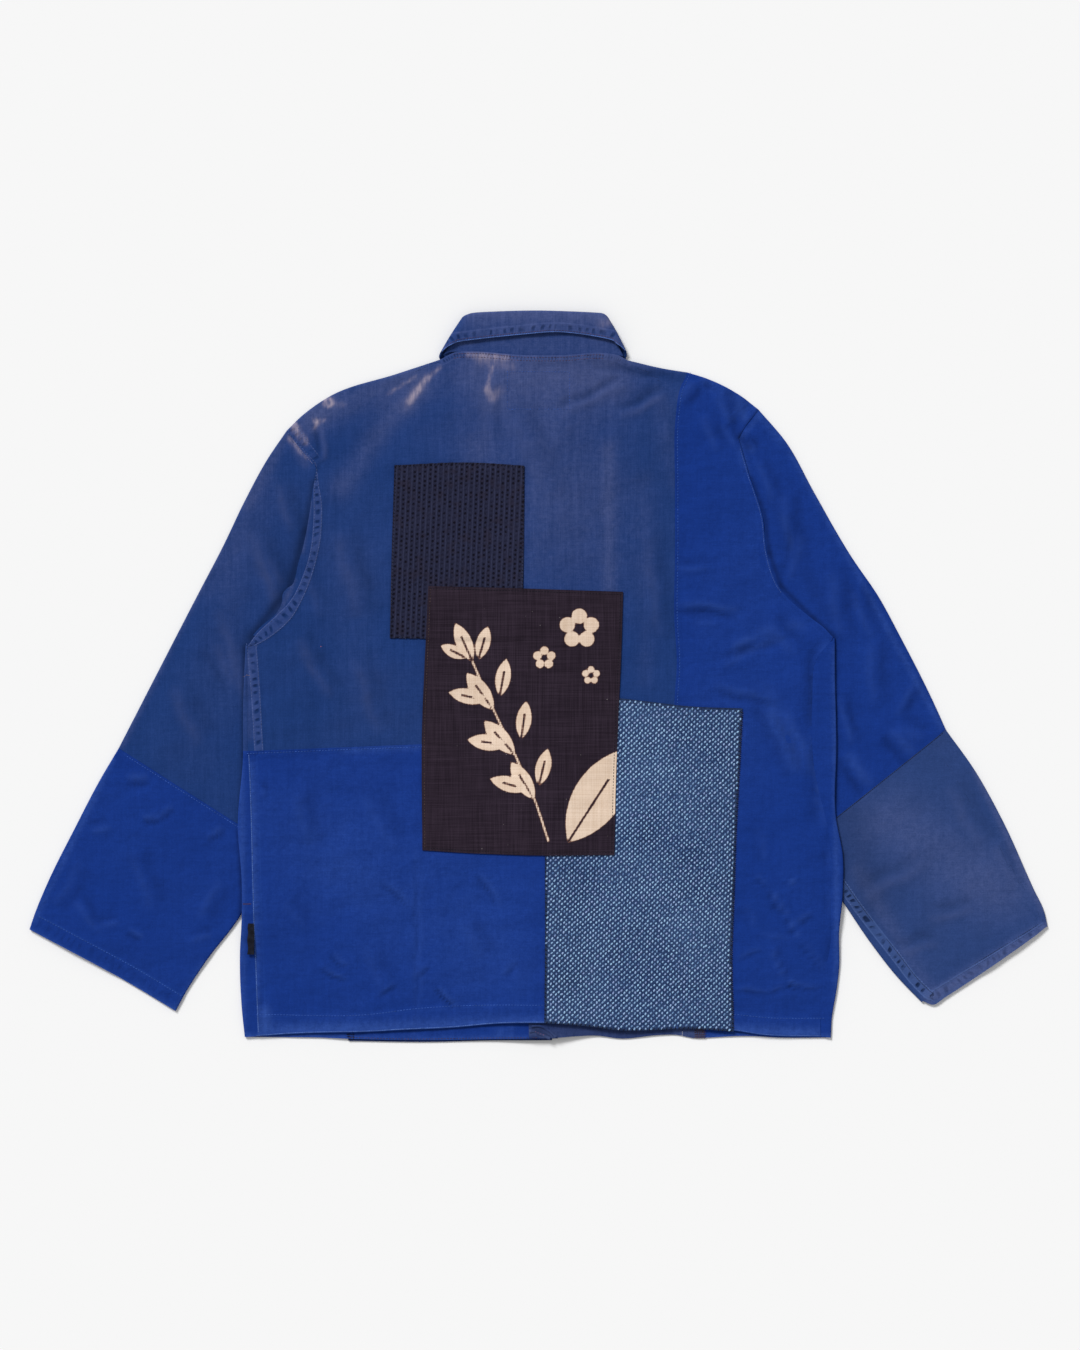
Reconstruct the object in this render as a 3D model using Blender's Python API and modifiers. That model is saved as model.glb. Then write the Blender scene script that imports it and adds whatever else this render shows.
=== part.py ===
"""A patched boro work jacket, laid flat on its front with the back upwards.

The fronts lie on the surface, the back lies on the fronts and the patches lie on the back. All of them are made
from one plan of lines, down and across the body, so that each layer keeps its distance from the one below. The
sleeves are flattened tubes that start at the armholes and pass under the edges of the body.

+X is to the wearer's right, +Y to the collar and +Z up. Lengths are millimetres until a mesh is made in metres.
"""

import math

import bmesh
import bpy
import numpy as np
from mathutils import Vector

MM = 0.001

# Cloth and air
CLOTH = 1.2  # wall of every cloth piece
AIR = 0.3  # between pieces that touch
LAYER = CLOTH + AIR
FOLD = CLOTH + AIR / 2  # outer radius of a pressed fold of two layers
FOLD_TURNS = (90, 45, 0, -45, -90)  # degrees round a fold, from its top to its underside

# How far the cloth is held up by what lies under it
SLEEVE_RISE = 3.6  # body edges over the sleeves
BUTTON_RISE = 2.9  # placket over the buttons
COLLAR_RISE = 2.1  # fronts over the collar leaf
LOFT = 1.2  # air that stays in the middle of the body
TUCK_RISE = 2.2  # tuck beside the left armhole
SLEEVE_LOFT = 1.4

# Where each thing under the body begins to lift it, and where it lifts it fully
SLEEVE_LEFT, SLEEVE_RIGHT = (-228, -256), (236, 261)  # x
SLEEVE_FOOT, SLEEVE_HEAD = (-290, -246), (78, 40)  # y
BUTTON_SIDE = (60, 22)  # from the line of buttons
COLLAR_SIDE, COLLAR_FOOT = (146, 104), (190, 212)  # from the middle, and y

SEAM_TO_FOLD = 8.0  # shoulder seam, under the shoulder fold
PATCH_DROP = 2.0  # front patch, past the front hem

# Lines down the body as (y, x), from the hem up. A line between two others is (line, line, share of the way).
DOWN = {
    "left_seam": (
        (-371, -289), (-332, -291), (-281, -293), (-216, -295), (-85, -299), (24, -299.5), (33, -299),
        (42.5, -292), (63, -271), (78, -256.5), (107, -242), (132, -235), (164, -232), (203, -231), (212, -230),
    ),
    "left_2": ("left_seam", "sashiko_left", 0.27),
    "left_3": ("left_seam", "sashiko_left", 0.48),
    "front_patch_left": ("left_seam", "sashiko_left", 0.68),
    "sashiko_left": ((-371, -152), (41, -153), (218, -148.5)),
    "print_left": ((-371, -120), (-54, -120), (94, -113.6), (218, -108)),
    "left_7": ("print_left", "centre_edge", 0.33),
    "left_8": ("print_left", "centre_edge", 0.67),
    "centre_edge": ((-371, -10), (94, -16), (218, -14.6)),
    "indigo_left": ((-371, 6), (-184, 6.7), (-15, 8), (218, 8)),
    "placket_edge": ((-371, 19.5), (218, 21)),
    "right_12": ("placket_edge", "print_right", 0.5),
    "print_right": ((-371, 78), (-183, 78), (-44, 82), (88, 87), (218, 88)),
    "right_14": ("print_right", "back_seam", 0.5),
    "back_seam": ((-371, 141), (-26, 140), (15, 143), (59, 139.6), (200, 140.6), (218, 141)),
    "front_join": ("back_seam", "indigo_right", 0.5),
    "indigo_right": ((-371, 201), (-291, 199), (-168, 203), (-32, 210), (60, 200), (120, 192), (214, 183)),
    "right_18": ("indigo_right", "right_seam", 0.36),
    "right_19": ("indigo_right", "right_seam", 0.7),
    "right_seam": (
        (-371, 290.5), (-332, 291), (-312, 293), (-281, 300), (-171, 300), (-85, 283), (-23, 282), (18, 286),
        (40.5, 301.5), (51, 294), (61, 281), (94, 247), (130, 235), (164, 231), (209, 217),
    ),
}
LINES = list(DOWN)

# Lines across the body as (x, y), from left to right. A line between two others is (line, line, share).
ACROSS = {
    "front_hem": (
        (-303, -371), (-197, -372.5), (-110, -374), (14, -371.6), (39, -370), (84, -372.6), (125, -369),
        (162, -372.3), (217, -370.5), (302, -371.5),
    ),
    "back_hem": (
        (-290, -369), (-215, -366), (-136, -363), (-40, -356), (6, -355.5), (90, -364), (155, -362),
        (201, -365), (231, -368), (302, -369.5),
    ),
    "low_2": ("back_hem", "print_foot", 0.14),
    "low_3": ("back_hem", "print_foot", 0.4),
    "low_4": ("back_hem", "print_foot", 0.65),
    "print_foot": ((-300, -178), (-120, -178), (-17, -183), (305, -183)),
    "low_7": ("print_foot", "cross_seam", 0.5),
    "cross_seam": ((-302, -76), (-121, -69), (-60, -66), (305, -62)),
    "indigo_head": ((-305, -22), (8, -15), (83, -21.5), (156, -30), (210, -32), (305, -30)),
    "low_12": ("indigo_head", "armpit", 0.5),
    "armpit": ((-299, 33), (-153, 41), (-117, 40), (303, 40.5)),
    "high_14": ("armpit", "print_head", 0.45),
    "print_head": ((-262, 74), (-113.6, 94), (87, 88), (200, 90), (262, 76)),
    "high_16": ("print_head", "sashiko_head", 0.25),
    "high_17": ("print_head", "sashiko_head", 0.5),
    "high_18": ("print_head", "sashiko_head", 0.75),
    "sashiko_head": ((-230, 212), (-148.5, 218.5), (-64, 221), (-14.6, 217.6), (185, 214), (217, 209)),
}
# Lines above the sashiko patch: share of the way to the shoulder seam, and share of the loft that is left
ABOVE = {"high_20": (0.38, 0.8), "high_21": (0.75, 0.4), "shoulder_seam": (1.0, 0.0)}
LEVELS = list(ACROSS) + list(ABOVE)
CROSSING_STEPS = 40

# Outer edges of the body, where the fronts fold round to the side seams, as (y, x)
LEFT_EDGE = (
    (-371, -303), (-342, -306), (-286, -308), (-261, -306), (-209, -306), (-154, -310), (-80, -304), (22, -303),
    (33, -302),
)
RIGHT_EDGE = (
    (-371, 301.5), (-354, 302.5), (-325, 307), (-301, 310), (-230, 313), (-183, 313.5), (-144, 306.5),
    (-71, 307), (15, 305.5), (40.5, 304.5),
)

# Top of the body: shoulder, neck and shoulder as (x, y), and where each line down the body meets it
TOP = (
    (-260, 254), (-246, 268), (-215, 290), (-146, 313), (-100, 328), (-87, 333.5), (-69, 332), (-14, 326),
    (23, 326), (69, 331), (91, 327), (128, 318), (153.5, 314.5), (174, 308), (210.5, 289), (227, 276),
)
TOP_X = dict(zip(LINES, (
    -260, -240, -214, -182, -144, -100, -72, -42, -13, 8, 22, 53, 91, 122, 153.5, 174, 192, 206, 217, 227,
)))
NECK_LEFT, NECK_RIGHT = "print_left", "print_right"
FRONT_NECK = ((-100, 320), (-75, 291), (-45, 264), (-13, 252), (22, 251), (52, 266), (91, 320))  # (x, y)
ARMHOLE_TOP = {"left_seam": (0.62, -0.785), "right_seam": (-0.63, -0.777)}  # down the armhole from the shoulder

# Sleeve sections from armhole to cuff: outer edge, inner edge, how much of the armhole's curve each keeps, and
# how far it has come down from the armhole to the surface. The first ones fan out round the armpit.
LEFT_SLEEVE = (
    # outer x, y, inner x, y, curve, settled
    (-287, 211, -306, 32, 0.8, 0.4),
    (-318, 150, -307.8, 30, 0.45, 0.8),
    (-365, 60, -308.3, 27, 0.15, 1),
    (-398, -5, -303, -32, 0, 1),
    (-433, -73, -282, -169, 0, 1),
    (-456, -111, -290, -211, 0, 1),
    (-490, -179, -318, -260, 0, 1),
    (-525, -260, -374, -344, 0, 1),
)
RIGHT_SLEEVE = (
    (255, 243, 307.3, 40, 0.85, 0.4),
    (288, 184, 309, 38, 0.5, 0.8),
    (345, 90, 309.5, 35, 0.15, 1),
    (378, 33, 304, -24, 0, 1),
    (420, -54, 286, -161, 0, 1),
    (446, -90, 297, -208, 0, 1),
    (486, -163, 326, -252, 0, 1),
    (525, -255, 398, -339, 0, 1),
)
LOFT_FROM_OUTER, LOFT_FROM_INNER = (0, 0.3), (0.75, 0.45)  # share of a section where loft starts, and is whole
SLEEVE_JOIN = 5  # section of the seam between a sleeve's two cloths, the armhole being 0
TUCK_WIDTH = ((0, 1), (0.2, 5), (0.4, 9), (0.6, 9), (0.8, 5), (1, 0.4))  # (share of the armhole, width)
TUCK_STEP = 0.2  # of its width
TUCK_PLACE = ((41, 0), (70, 1), (170, 1), (205, 0))  # (y, share of its rise)
CURVE_FADE = 1.0  # how much less of the armhole's curve a section keeps at its inner edge
ARMPIT_OUT = 3.8  # start of the sleeve's inner fold, out from the armpit
SIDE_WAY = {"left": -1, "right": 1}

# Collar: neck seam, fold and leaf edge in plan, and the way round, in degrees: -90 is under, 90 is on top
COLLAR = (
    # seam x, y, fold x, y, leaf x, y, turn
    (-4, 252.8, -4, 292, -9, 240, -90),
    (-40, 263, -27, 303, -52, 228, -90),
    (-74, 293, -50, 331, -101, 282, -90),
    (-93, 317, -70, 357, -99, 318, -90),
    (-95.5, 331, -74, 366, -94, 332, -45),
    (-95.5, 332, -74, 366.5, -94, 334, 0),
    (-95, 332.5, -74, 367, -93, 337, 45),
    (-89, 334.8, -72, 370.5, -88, 343, 90),
    (-69, 333.2, -58, 373.4, -76, 346, 90),
    (-14, 327.4, -12, 375.6, -14, 353, 90),
    (23, 327.4, 20, 375, 26, 354.5, 90),
    (69, 332.4, 56, 373, 72, 348, 90),
    (82, 331.2, 67, 370, 82, 342, 90),
    (86, 330.5, 69, 367, 86, 335, 45),
    (86, 330, 69.2, 366.5, 87, 333, 0),
    (86, 329, 69.2, 366, 87, 331, -45),
    (84, 316, 65, 357, 90, 318, -90),
    (66, 293, 46, 331, 93, 282, -90),
    (38, 265.5, 27, 303, 52, 228, -90),
    (6, 252.8, 6, 292, 11, 240, -90),
)
COLLAR_MIDDLE = 4.0  # height of the fold at the side of the neck
COLLAR_TURN = 1.3  # half the height between the back and the front of the stand
LEAF_OFF = 2.1  # leaf off the stand, from middle to middle
LEAF_LIFT = 1.0  # more at its free edge on the back
LEAF_STEPS = (0.33, 0.67, 1.0)

# Closure, under the placket, and the loop at the side seam
BUTTON_X = 4.0
BUTTON_Y = (200, 108, 16, -76, -168)
BUTTON_SIZE, BUTTON_HEIGHT, BUTTON_RIM, BUTTON_DISH = 18.0, 2.6, 2.2, 0.7
BUTTON_ROUND, BUTTON_SIDES = 0.6, 12
LOOP_FROM, LOOP_TO, LOOP_OUT = -286.0, -253.0, 7.0
LOOP_CLOTH = 0.8
LOOP_PARTS = 4

COLOURS = {
    # slot: red, green, blue (linear), roughness
    "faded_indigo": (0.030, 0.055, 0.185, 0.9),
    "royal_cotton": (0.010, 0.041, 0.230, 0.88),
    "sleeve_faded": (0.038, 0.064, 0.198, 0.9),
    "sashiko_navy": (0.017, 0.019, 0.043, 0.92),
    "print_linen": (0.024, 0.016, 0.026, 0.92),
    "indigo_dots": (0.055, 0.098, 0.210, 0.9),
    "hidden_navy": (0.034, 0.055, 0.166, 0.9),
    "label_dark": (0.010, 0.012, 0.030, 0.8),
    "button_plastic": (0.012, 0.014, 0.030, 0.45),
}


# ---------------------------------------------------------------- plan of the body


def read(table, place):
    """A table of pairs read at a place, straight between its rows."""
    keys, values = zip(*table)
    return float(np.interp(place, keys, values))


def read_line(lines, name, place):
    """A line of the plan, or the one between two others, read at a place."""
    line = lines[name]
    if isinstance(line[0], str):
        first, second, share = line
        return (1 - share) * read_line(lines, first, place) + share * read_line(lines, second, place)
    return read(line, place)


def crossing(across, down):
    """Where a line across the body meets a line down it."""
    x, y = 0.0, 0.0
    for _ in range(CROSSING_STEPS):
        x = (x + read_line(DOWN, down, y)) / 2
        y = (y + read_line(ACROSS, across, x)) / 2
    return np.array((x, y))


def outward(down):
    """The way out of the body, in plan, where a line meets the shoulder."""
    if down in ARMHOLE_TOP:
        return -np.array(ARMHOLE_TOP[down])
    low = TOP_X[down] - (0 if down == NECK_RIGHT else 1)
    high = TOP_X[down] + (0 if down == NECK_LEFT else 1)
    run, rise = high - low, read(TOP, high) - read(TOP, low)
    return np.array((-rise, run)) / math.hypot(run, rise)


def in_neck(down):
    return LINES.index(NECK_LEFT) < LINES.index(down) < LINES.index(NECK_RIGHT)


def plan_of(front):
    """Each crossing of the plan as (x, y); the neck of the fronts is lower than the neck of the back."""
    plan = {(level, line): crossing(level, line) for level in ACROSS for line in LINES}
    for line in LINES:
        foot = plan["sashiko_head", line]
        top = np.array((TOP_X[line], read(TOP, TOP_X[line])))
        if front and in_neck(line):
            head = np.array((TOP_X[line], read(FRONT_NECK, TOP_X[line])))
        else:
            head = top - SEAM_TO_FOLD * outward(line)
        for level, (share, _) in ABOVE.items():
            plan[level, line] = foot + share * (head - foot)
        plan["top", line] = top
    return plan


BACK_PLAN = plan_of(front=False)
FRONT_PLAN = plan_of(front=True)


# ---------------------------------------------------------------- heights


def ease(limits, place):
    """0 at the first limit and 1 at the second, with soft ends; the second may be the smaller."""
    low, high = limits
    share = min(max((place - low) / (high - low), 0.0), 1.0)
    return share * share * (3 - 2 * share)


def ground(x, y):
    """Underside of the fronts: on the surface, or held up by a sleeve, the buttons or the collar."""
    sides = ease(SLEEVE_LEFT, x) + ease(SLEEVE_RIGHT, x)
    sleeve = SLEEVE_RISE * sides * ease(SLEEVE_FOOT, y) * ease(SLEEVE_HEAD, y)
    buttons = BUTTON_RISE * ease(BUTTON_SIDE, abs(x - BUTTON_X))
    collar = COLLAR_RISE * ease(COLLAR_SIDE, abs(x)) * ease(COLLAR_FOOT, y)
    return max(sleeve, buttons, collar)


def between(lines, first, last):
    """The names from first to last."""
    return lines[lines.index(first): lines.index(last) + 1]


FRONT_PATCH = (between(LEVELS, "front_hem", "print_foot"), between(LINES, "front_patch_left", "placket_edge"))
OVERLAP = between(LINES, "centre_edge", "placket_edge")


def front_height(level, line):
    """Underside of the front that lies lowest; the patch on it lies under it."""
    x, y = FRONT_PLAN[level, line]
    on_patch = level in FRONT_PATCH[0] and line in FRONT_PATCH[1]
    return ground(x, y) + (LAYER if on_patch else 0)


def inner_front_height(level, line):
    """Underside of the other front, which laps over the first at the placket."""
    return front_height(level, line) + (LAYER if line in OVERLAP else 0)


def back_height(level, line):
    """Underside of the back."""
    x, y = BACK_PLAN[level, line]
    middle = 1 - abs(2 * LINES.index(line) / (len(LINES) - 1) - 1) ** 4
    up = 1.0 if level in ACROSS or in_neck(line) else ABOVE[level][1]
    tuck = TUCK_RISE * read(TUCK_PLACE, y) if line == "left_seam" else 0
    return inner_front_height(level, line) + LAYER + LOFT * middle * up + tuck


def at(plan, height, level, line, up=0.0):
    """A crossing of the plan as a point, raised above its height."""
    x, y = plan[level, line]
    return np.array((x, y, height(level, line) + up))


# ---------------------------------------------------------------- folds at the edges


def half_round(centre, out, middle, reach, radius):
    """A fold in section, from its top to its underside: centre in plan, height of its middle, width and radius."""
    turns = [math.radians(turn) for turn in FOLD_TURNS]
    return [np.array((*(centre + reach * math.cos(a) * out), middle + radius * math.sin(a))) for a in turns]


def side_fold(level, side, depth=0.0):
    """A front's fold round the side of the body, from its top to its underside, at a depth in the cloth."""
    seam, edge, out = (("left_seam", LEFT_EDGE, -1), ("right_seam", RIGHT_EDGE, 1))[side == "right"]
    y = FRONT_PLAN[level, seam][1]
    centre = np.array((read(edge, y) - out * FOLD, y))
    middle = front_height(level, seam) + FOLD
    return half_round(centre, np.array((out, 0)), middle, FOLD - depth, FOLD - depth)


def side_strip(level, side):
    """A front from the side seam, on top of the body, round its side fold."""
    x, y = FRONT_PLAN[level, f"{side}_seam"]
    return [np.array((x, y, front_height(level, f"{side}_seam") + 2 * FOLD))] + side_fold(level, side)


def shoulder_fold(line, depth=0.0):
    """The back's fold over the shoulder, from its top to its underside, at a depth in the cloth."""
    out = outward(line)
    top = back_height("shoulder_seam", line) + CLOTH
    low = front_height("shoulder_seam", line)
    radius = (top - low) / 2
    centre = BACK_PLAN["top", line] - radius * out
    return half_round(centre, out, (top + low) / 2, radius - depth, radius - depth)


# ---------------------------------------------------------------- meshes


def shorten(rows, first=0.0, last=0.0):
    """Rows of points, with their first and last row moved inwards by these lengths."""
    rows = [list(row) for row in rows]
    for end, inner, length in ((0, 1, first), (-1, -2, last)):
        if length:
            rows[end] = [
                p + (q - p) * (length / np.linalg.norm(q - p)) for p, q in zip(rows[end], rows[inner])
            ]
    return rows


def turned(rows):
    """Rows as columns."""
    return [list(row) for row in zip(*rows)]


def trimmed(rows, left=0.0, right=0.0, foot=0.0, head=0.0):
    """A block of points cut back along its edges."""
    return turned(shorten(turned(shorten(rows, foot, head)), left, right))


def moved(rows, end, length, count=None):
    """Rows of points, with one end of the first few of them moved along X."""
    for row in rows[:count]:
        row[end] = row[end] + (length, 0, 0)
    return rows


def cloth(name, blocks, slot, outside_up=True, thickness=CLOTH):
    """One cloth piece: blocks of points as an open surface that faces out, given its wall by Solidify."""
    mesh = bmesh.new()
    for rows in blocks:
        grid = [[mesh.verts.new(Vector(point) * MM) for point in row] for row in rows]
        for low, high in zip(grid, grid[1:]):
            for i in range(len(low) - 1):
                for corners in ((low[i], low[i + 1], high[i + 1]), (low[i], high[i + 1], high[i])):
                    mesh.faces.new(corners if outside_up else corners[::-1])
    bmesh.ops.remove_doubles(mesh, verts=mesh.verts, dist=0.00001)
    piece = add_object(name, mesh, slot)
    wall = piece.modifiers.new("Wall", "SOLIDIFY")
    wall.thickness = thickness * MM
    wall.offset = -1
    wall.use_even_offset = True
    return piece


def shell(name, outer, inner, slot, closed):
    """One cloth piece from matching sections of its outer and inner face; closed where the sections are rings."""
    mesh = bmesh.new()
    faces = [[[mesh.verts.new(Vector(point) * MM) for point in row] for row in rows] for rows in (outer, inner)]
    count = len(outer[0])

    def strip(first, second, loop):
        for i in range(count if loop else len(first) - 1):
            j = (i + 1) % len(first)
            a, b, c, d = first[i], first[j], second[j], second[i]
            if (c.co - a.co).length > (d.co - b.co).length:
                a, b, c, d = b, c, d, a
            mesh.faces.new((a, b, c))
            mesh.faces.new((a, c, d))

    for face in faces:
        for low, high in zip(face, face[1:]):
            strip(low, high, closed)
    for end in (0, -1):
        strip(faces[0][end], faces[1][end], closed)
        if not closed:
            strip([row[end] for row in faces[0]], [row[end] for row in faces[1]], False)
    bmesh.ops.recalc_face_normals(mesh, faces=mesh.faces)
    return add_object(name, mesh, slot)


def add_object(name, mesh, slot):
    """A mesh as an object of the jacket, with its material."""
    data = bpy.data.meshes.new(name)
    mesh.to_mesh(data)
    mesh.free()
    data.materials.append(MATERIALS[slot])
    piece = bpy.data.objects.new(name, data)
    JACKET.objects.link(piece)
    return piece


def block(plan, height, levels, lines, up=0.0):
    return [[at(plan, height, level, line, up) for line in lines] for level in levels]


# ---------------------------------------------------------------- pieces


def make_fronts():
    """Two fronts: the left lies lowest, the right is cut in two and laps over it at the placket."""
    below = between(LEVELS, "front_hem", "armpit")
    seam = AIR / 2

    lines = between(LINES, "left_seam", "placket_edge")
    main = block(FRONT_PLAN, front_height, LEVELS, lines)
    wrap = [side_strip(level, "left") + [at(FRONT_PLAN, front_height, level, "left_seam")] for level in below]
    cloth("front_left", [main, trimmed(wrap, left=seam)], "royal_cotton", outside_up=False)

    lines = between(LINES, "centre_edge", "front_join")
    main = block(FRONT_PLAN, inner_front_height, LEVELS, lines)
    cloth("front_right_centre", [trimmed(main, right=seam)], "hidden_navy", outside_up=False)

    lines = between(LINES, "front_join", "right_seam")
    main = block(FRONT_PLAN, front_height, LEVELS, lines)
    wrap = [
        [at(FRONT_PLAN, front_height, level, "right_seam")] + side_strip(level, "right")[::-1] for level in below
    ]
    cloth("front_right_side", [trimmed(main, left=seam), trimmed(wrap, right=seam)], "royal_cotton",
          outside_up=False)

    rows = block(FRONT_PLAN, front_height, *FRONT_PATCH, up=-LAYER)
    rows[0] = [point - np.array((0, PATCH_DROP, 0)) for point in rows[0]]
    cloth("front_patch", [rows], "hidden_navy", outside_up=False)


def make_back():
    """Three back panels; the upper one and the right one fold over the shoulders."""
    seam = AIR / 2
    low = between(LEVELS, "back_hem", "cross_seam")
    high = between(LEVELS, "cross_seam", "shoulder_seam")

    def panel(levels, lines):
        return block(BACK_PLAN, back_height, levels, lines, up=CLOTH)

    def over_shoulder(lines):
        """From the last line of the panel, over the fold, to the seam below."""
        rows = [[at(BACK_PLAN, back_height, "shoulder_seam", line, CLOTH) for line in lines]]
        rows += turned([shoulder_fold(line) for line in lines])
        rows.append([at(BACK_PLAN, front_height, "shoulder_seam", line) for line in lines])
        return shorten(rows, last=AIR)

    def neck_edge():
        """From the last line of the panel to the neck seam."""
        lines = between(LINES, NECK_LEFT, NECK_RIGHT)
        head = [shoulder_fold(lines[0])[0]]
        for line in lines[1:-1]:
            head.append(np.array((*BACK_PLAN["top", line], back_height("shoulder_seam", line) + CLOTH)))
        head.append(shoulder_fold(lines[-1])[0])
        return [[at(BACK_PLAN, back_height, "shoulder_seam", line, CLOTH) for line in lines], head]

    left = between(LINES, "left_seam", "back_seam")
    right = between(LINES, "back_seam", "right_seam")
    side_rows = len(between(LEVELS, "cross_seam", "armpit"))

    main = moved(shorten(panel(high, left), first=seam), 0, seam, side_rows)
    left_of_neck = over_shoulder(between(LINES, "left_seam", NECK_LEFT))
    right_of_neck = over_shoulder(between(LINES, NECK_RIGHT, "back_seam"))
    upper = [moved(main, -1, -seam), left_of_neck, neck_edge(), moved(right_of_neck, -1, -seam)]
    cloth("back_upper", upper, "faded_indigo")

    cloth("back_lower_left", [trimmed(panel(low, left), left=seam, right=seam, head=seam)], "royal_cotton")

    main = moved(panel(low + high[1:], right), 0, seam)
    main = moved(main, -1, -seam, len(low) + side_rows - 1)
    cloth("back_right", [main, moved(over_shoulder(right), 0, seam)], "royal_cotton")


def make_patches():
    """Three patches on the back; the printed one lies over the edges of the other two."""
    sashiko = (between(LEVELS, "armpit", "sashiko_head"), between(LINES, "sashiko_left", "centre_edge"))
    indigo = (between(LEVELS, "back_hem", "indigo_head"), between(LINES, "indigo_left", "indigo_right"))
    printed = (between(LEVELS, "print_foot", "print_head"), between(LINES, "print_left", "print_right"))

    def printed_height(level, line):
        covered = any(level in levels and line in lines for levels, lines in (sashiko, indigo))
        return back_height(level, line) + (LAYER if covered else 0)

    cloth("patch_sashiko", [block(BACK_PLAN, back_height, *sashiko, up=LAYER + CLOTH)], "sashiko_navy")
    cloth("patch_indigo", [block(BACK_PLAN, back_height, *indigo, up=LAYER + CLOTH)], "indigo_dots")
    cloth("patch_print", [block(BACK_PLAN, printed_height, *printed, up=LAYER + CLOTH)], "print_linen")


def armhole(side, depth):
    """The ring that a sleeve starts from, at a depth in the cloth: up the back's edge of the armhole, over the
    shoulder, down the front's edge and round the armpit."""
    line, way = f"{side}_seam", SIDE_WAY[side]
    levels = between(LEVELS, "high_14", "shoulder_seam")
    back = [at(BACK_PLAN, back_height, level, line, CLOTH - depth) for level in levels]
    front = [at(FRONT_PLAN, front_height, level, line, depth) for level in reversed(levels)]
    corner = FRONT_PLAN["armpit", line] + (way * ARMPIT_OUT, FOLD + AIR)
    armpit = half_round(
        corner, np.array((0, -1)), front_height("armpit", line) + FOLD, FOLD - depth, FOLD - depth
    )
    return back + shoulder_fold(line, depth) + front + armpit[::-1]


def edge_normals(points, turn):
    """For each point of a sleeve's edge after the first, the way out of the sleeve in plan."""
    ends = points + [2 * points[-1] - points[-2]]
    runs = [after - before for before, after in zip(ends, ends[2:])]
    return [turn * np.array((-run[1], run[0])) / np.linalg.norm(run) for run in runs]


def sleeve_ring(section, outs, shares, bows, depth):
    """A flattened ring across the sleeve at a depth in the cloth, which keeps some of the armhole's curve."""
    outer, inner, keep = np.array(section[0:2]), np.array(section[2:4]), section[4]
    start, end = outer - FOLD * outs[0], inner - FOLD * outs[1]
    places = [
        start + share * (end - start) + keep * (1 - CURVE_FADE * share) * bow for share, bow in zip(shares, bows)
    ]
    lofts = [SLEEVE_LOFT * ease(LOFT_FROM_OUTER, share) * ease(LOFT_FROM_INNER, share) for share in shares]
    back = [np.array((*place, 2 * FOLD + loft - depth)) for place, loft in zip(places, lofts)]
    front = [np.array((*place, depth)) for place in reversed(places)]
    outer_fold, inner_fold = (
        half_round(centre, out, FOLD, FOLD - depth, FOLD - depth) for centre, out in zip((start, end), outs)
    )
    return back + outer_fold + front + inner_fold[::-1]


def sleeve_rings(side, sections, depth):
    """All rings of a sleeve at a depth in the cloth. The left sleeve has a tuck beside the armhole."""
    edge = armhole(side, depth)
    fold = len(FOLD_TURNS)
    count = len(edge) // 2 - fold
    back = edge[:count]
    spine = [point[:2] for point in (edge[count], *back[::-1], edge[-1])]
    steps = [np.linalg.norm(q - p) for p, q in zip(spine, spine[1:])]
    shares = list(np.cumsum(steps) / sum(steps))[:-1][::-1]
    bows = [point[:2] - spine[0] - share * (spine[-1] - spine[0]) for point, share in zip(back, shares)]

    way = SIDE_WAY[side]
    away = np.array((way, 0.0, 0.0))
    rings = [[point + away * AIR for point in edge]]
    if side == "left":
        all_shares = shares + [0] * fold + shares[::-1] + [1] * fold
        widths = [read(TUCK_WIDTH, share) for share in all_shares]
        strip = [point + away * (AIR + width) for point, width in zip(edge, widths)]
        drops = [TUCK_RISE * read(TUCK_PLACE, point[1]) for point in back] + [0] * (len(edge) - count)
        below = [
            point + away * (AIR + TUCK_STEP * width) - (0, 0, drop)
            for point, width, drop in zip(strip, widths, drops)
        ]
        rings += [strip, below]
    start = rings[-1]
    outer_outs = edge_normals([spine[0]] + [np.array(section[0:2]) for section in sections], way)
    inner_outs = edge_normals([spine[-1]] + [np.array(section[2:4]) for section in sections], -way)
    for section, *outs in zip(sections, outer_outs, inner_outs):
        ring = sleeve_ring(section, outs, shares, bows, depth)
        for point, first in zip(ring, start):
            point[2] = first[2] + (point[2] - first[2]) * section[5]
        rings.append(ring)
    return rings


def make_sleeve(side, sections, slots):
    """A sleeve in two cloths, from the armhole to the cuff."""
    outer, inner = (sleeve_rings(side, sections, depth) for depth in (0.0, CLOTH))
    join = len(outer) - len(sections) + SLEEVE_JOIN
    upper = [shorten(rings[:join], last=AIR) for rings in (outer, inner)]
    lower = [shorten(rings[join - 1:], first=AIR) for rings in (outer, inner)]
    shell(f"sleeve_{side}_upper", *upper, slots[0], closed=True)
    shell(f"sleeve_{side}_lower", *lower, slots[1], closed=True)


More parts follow.
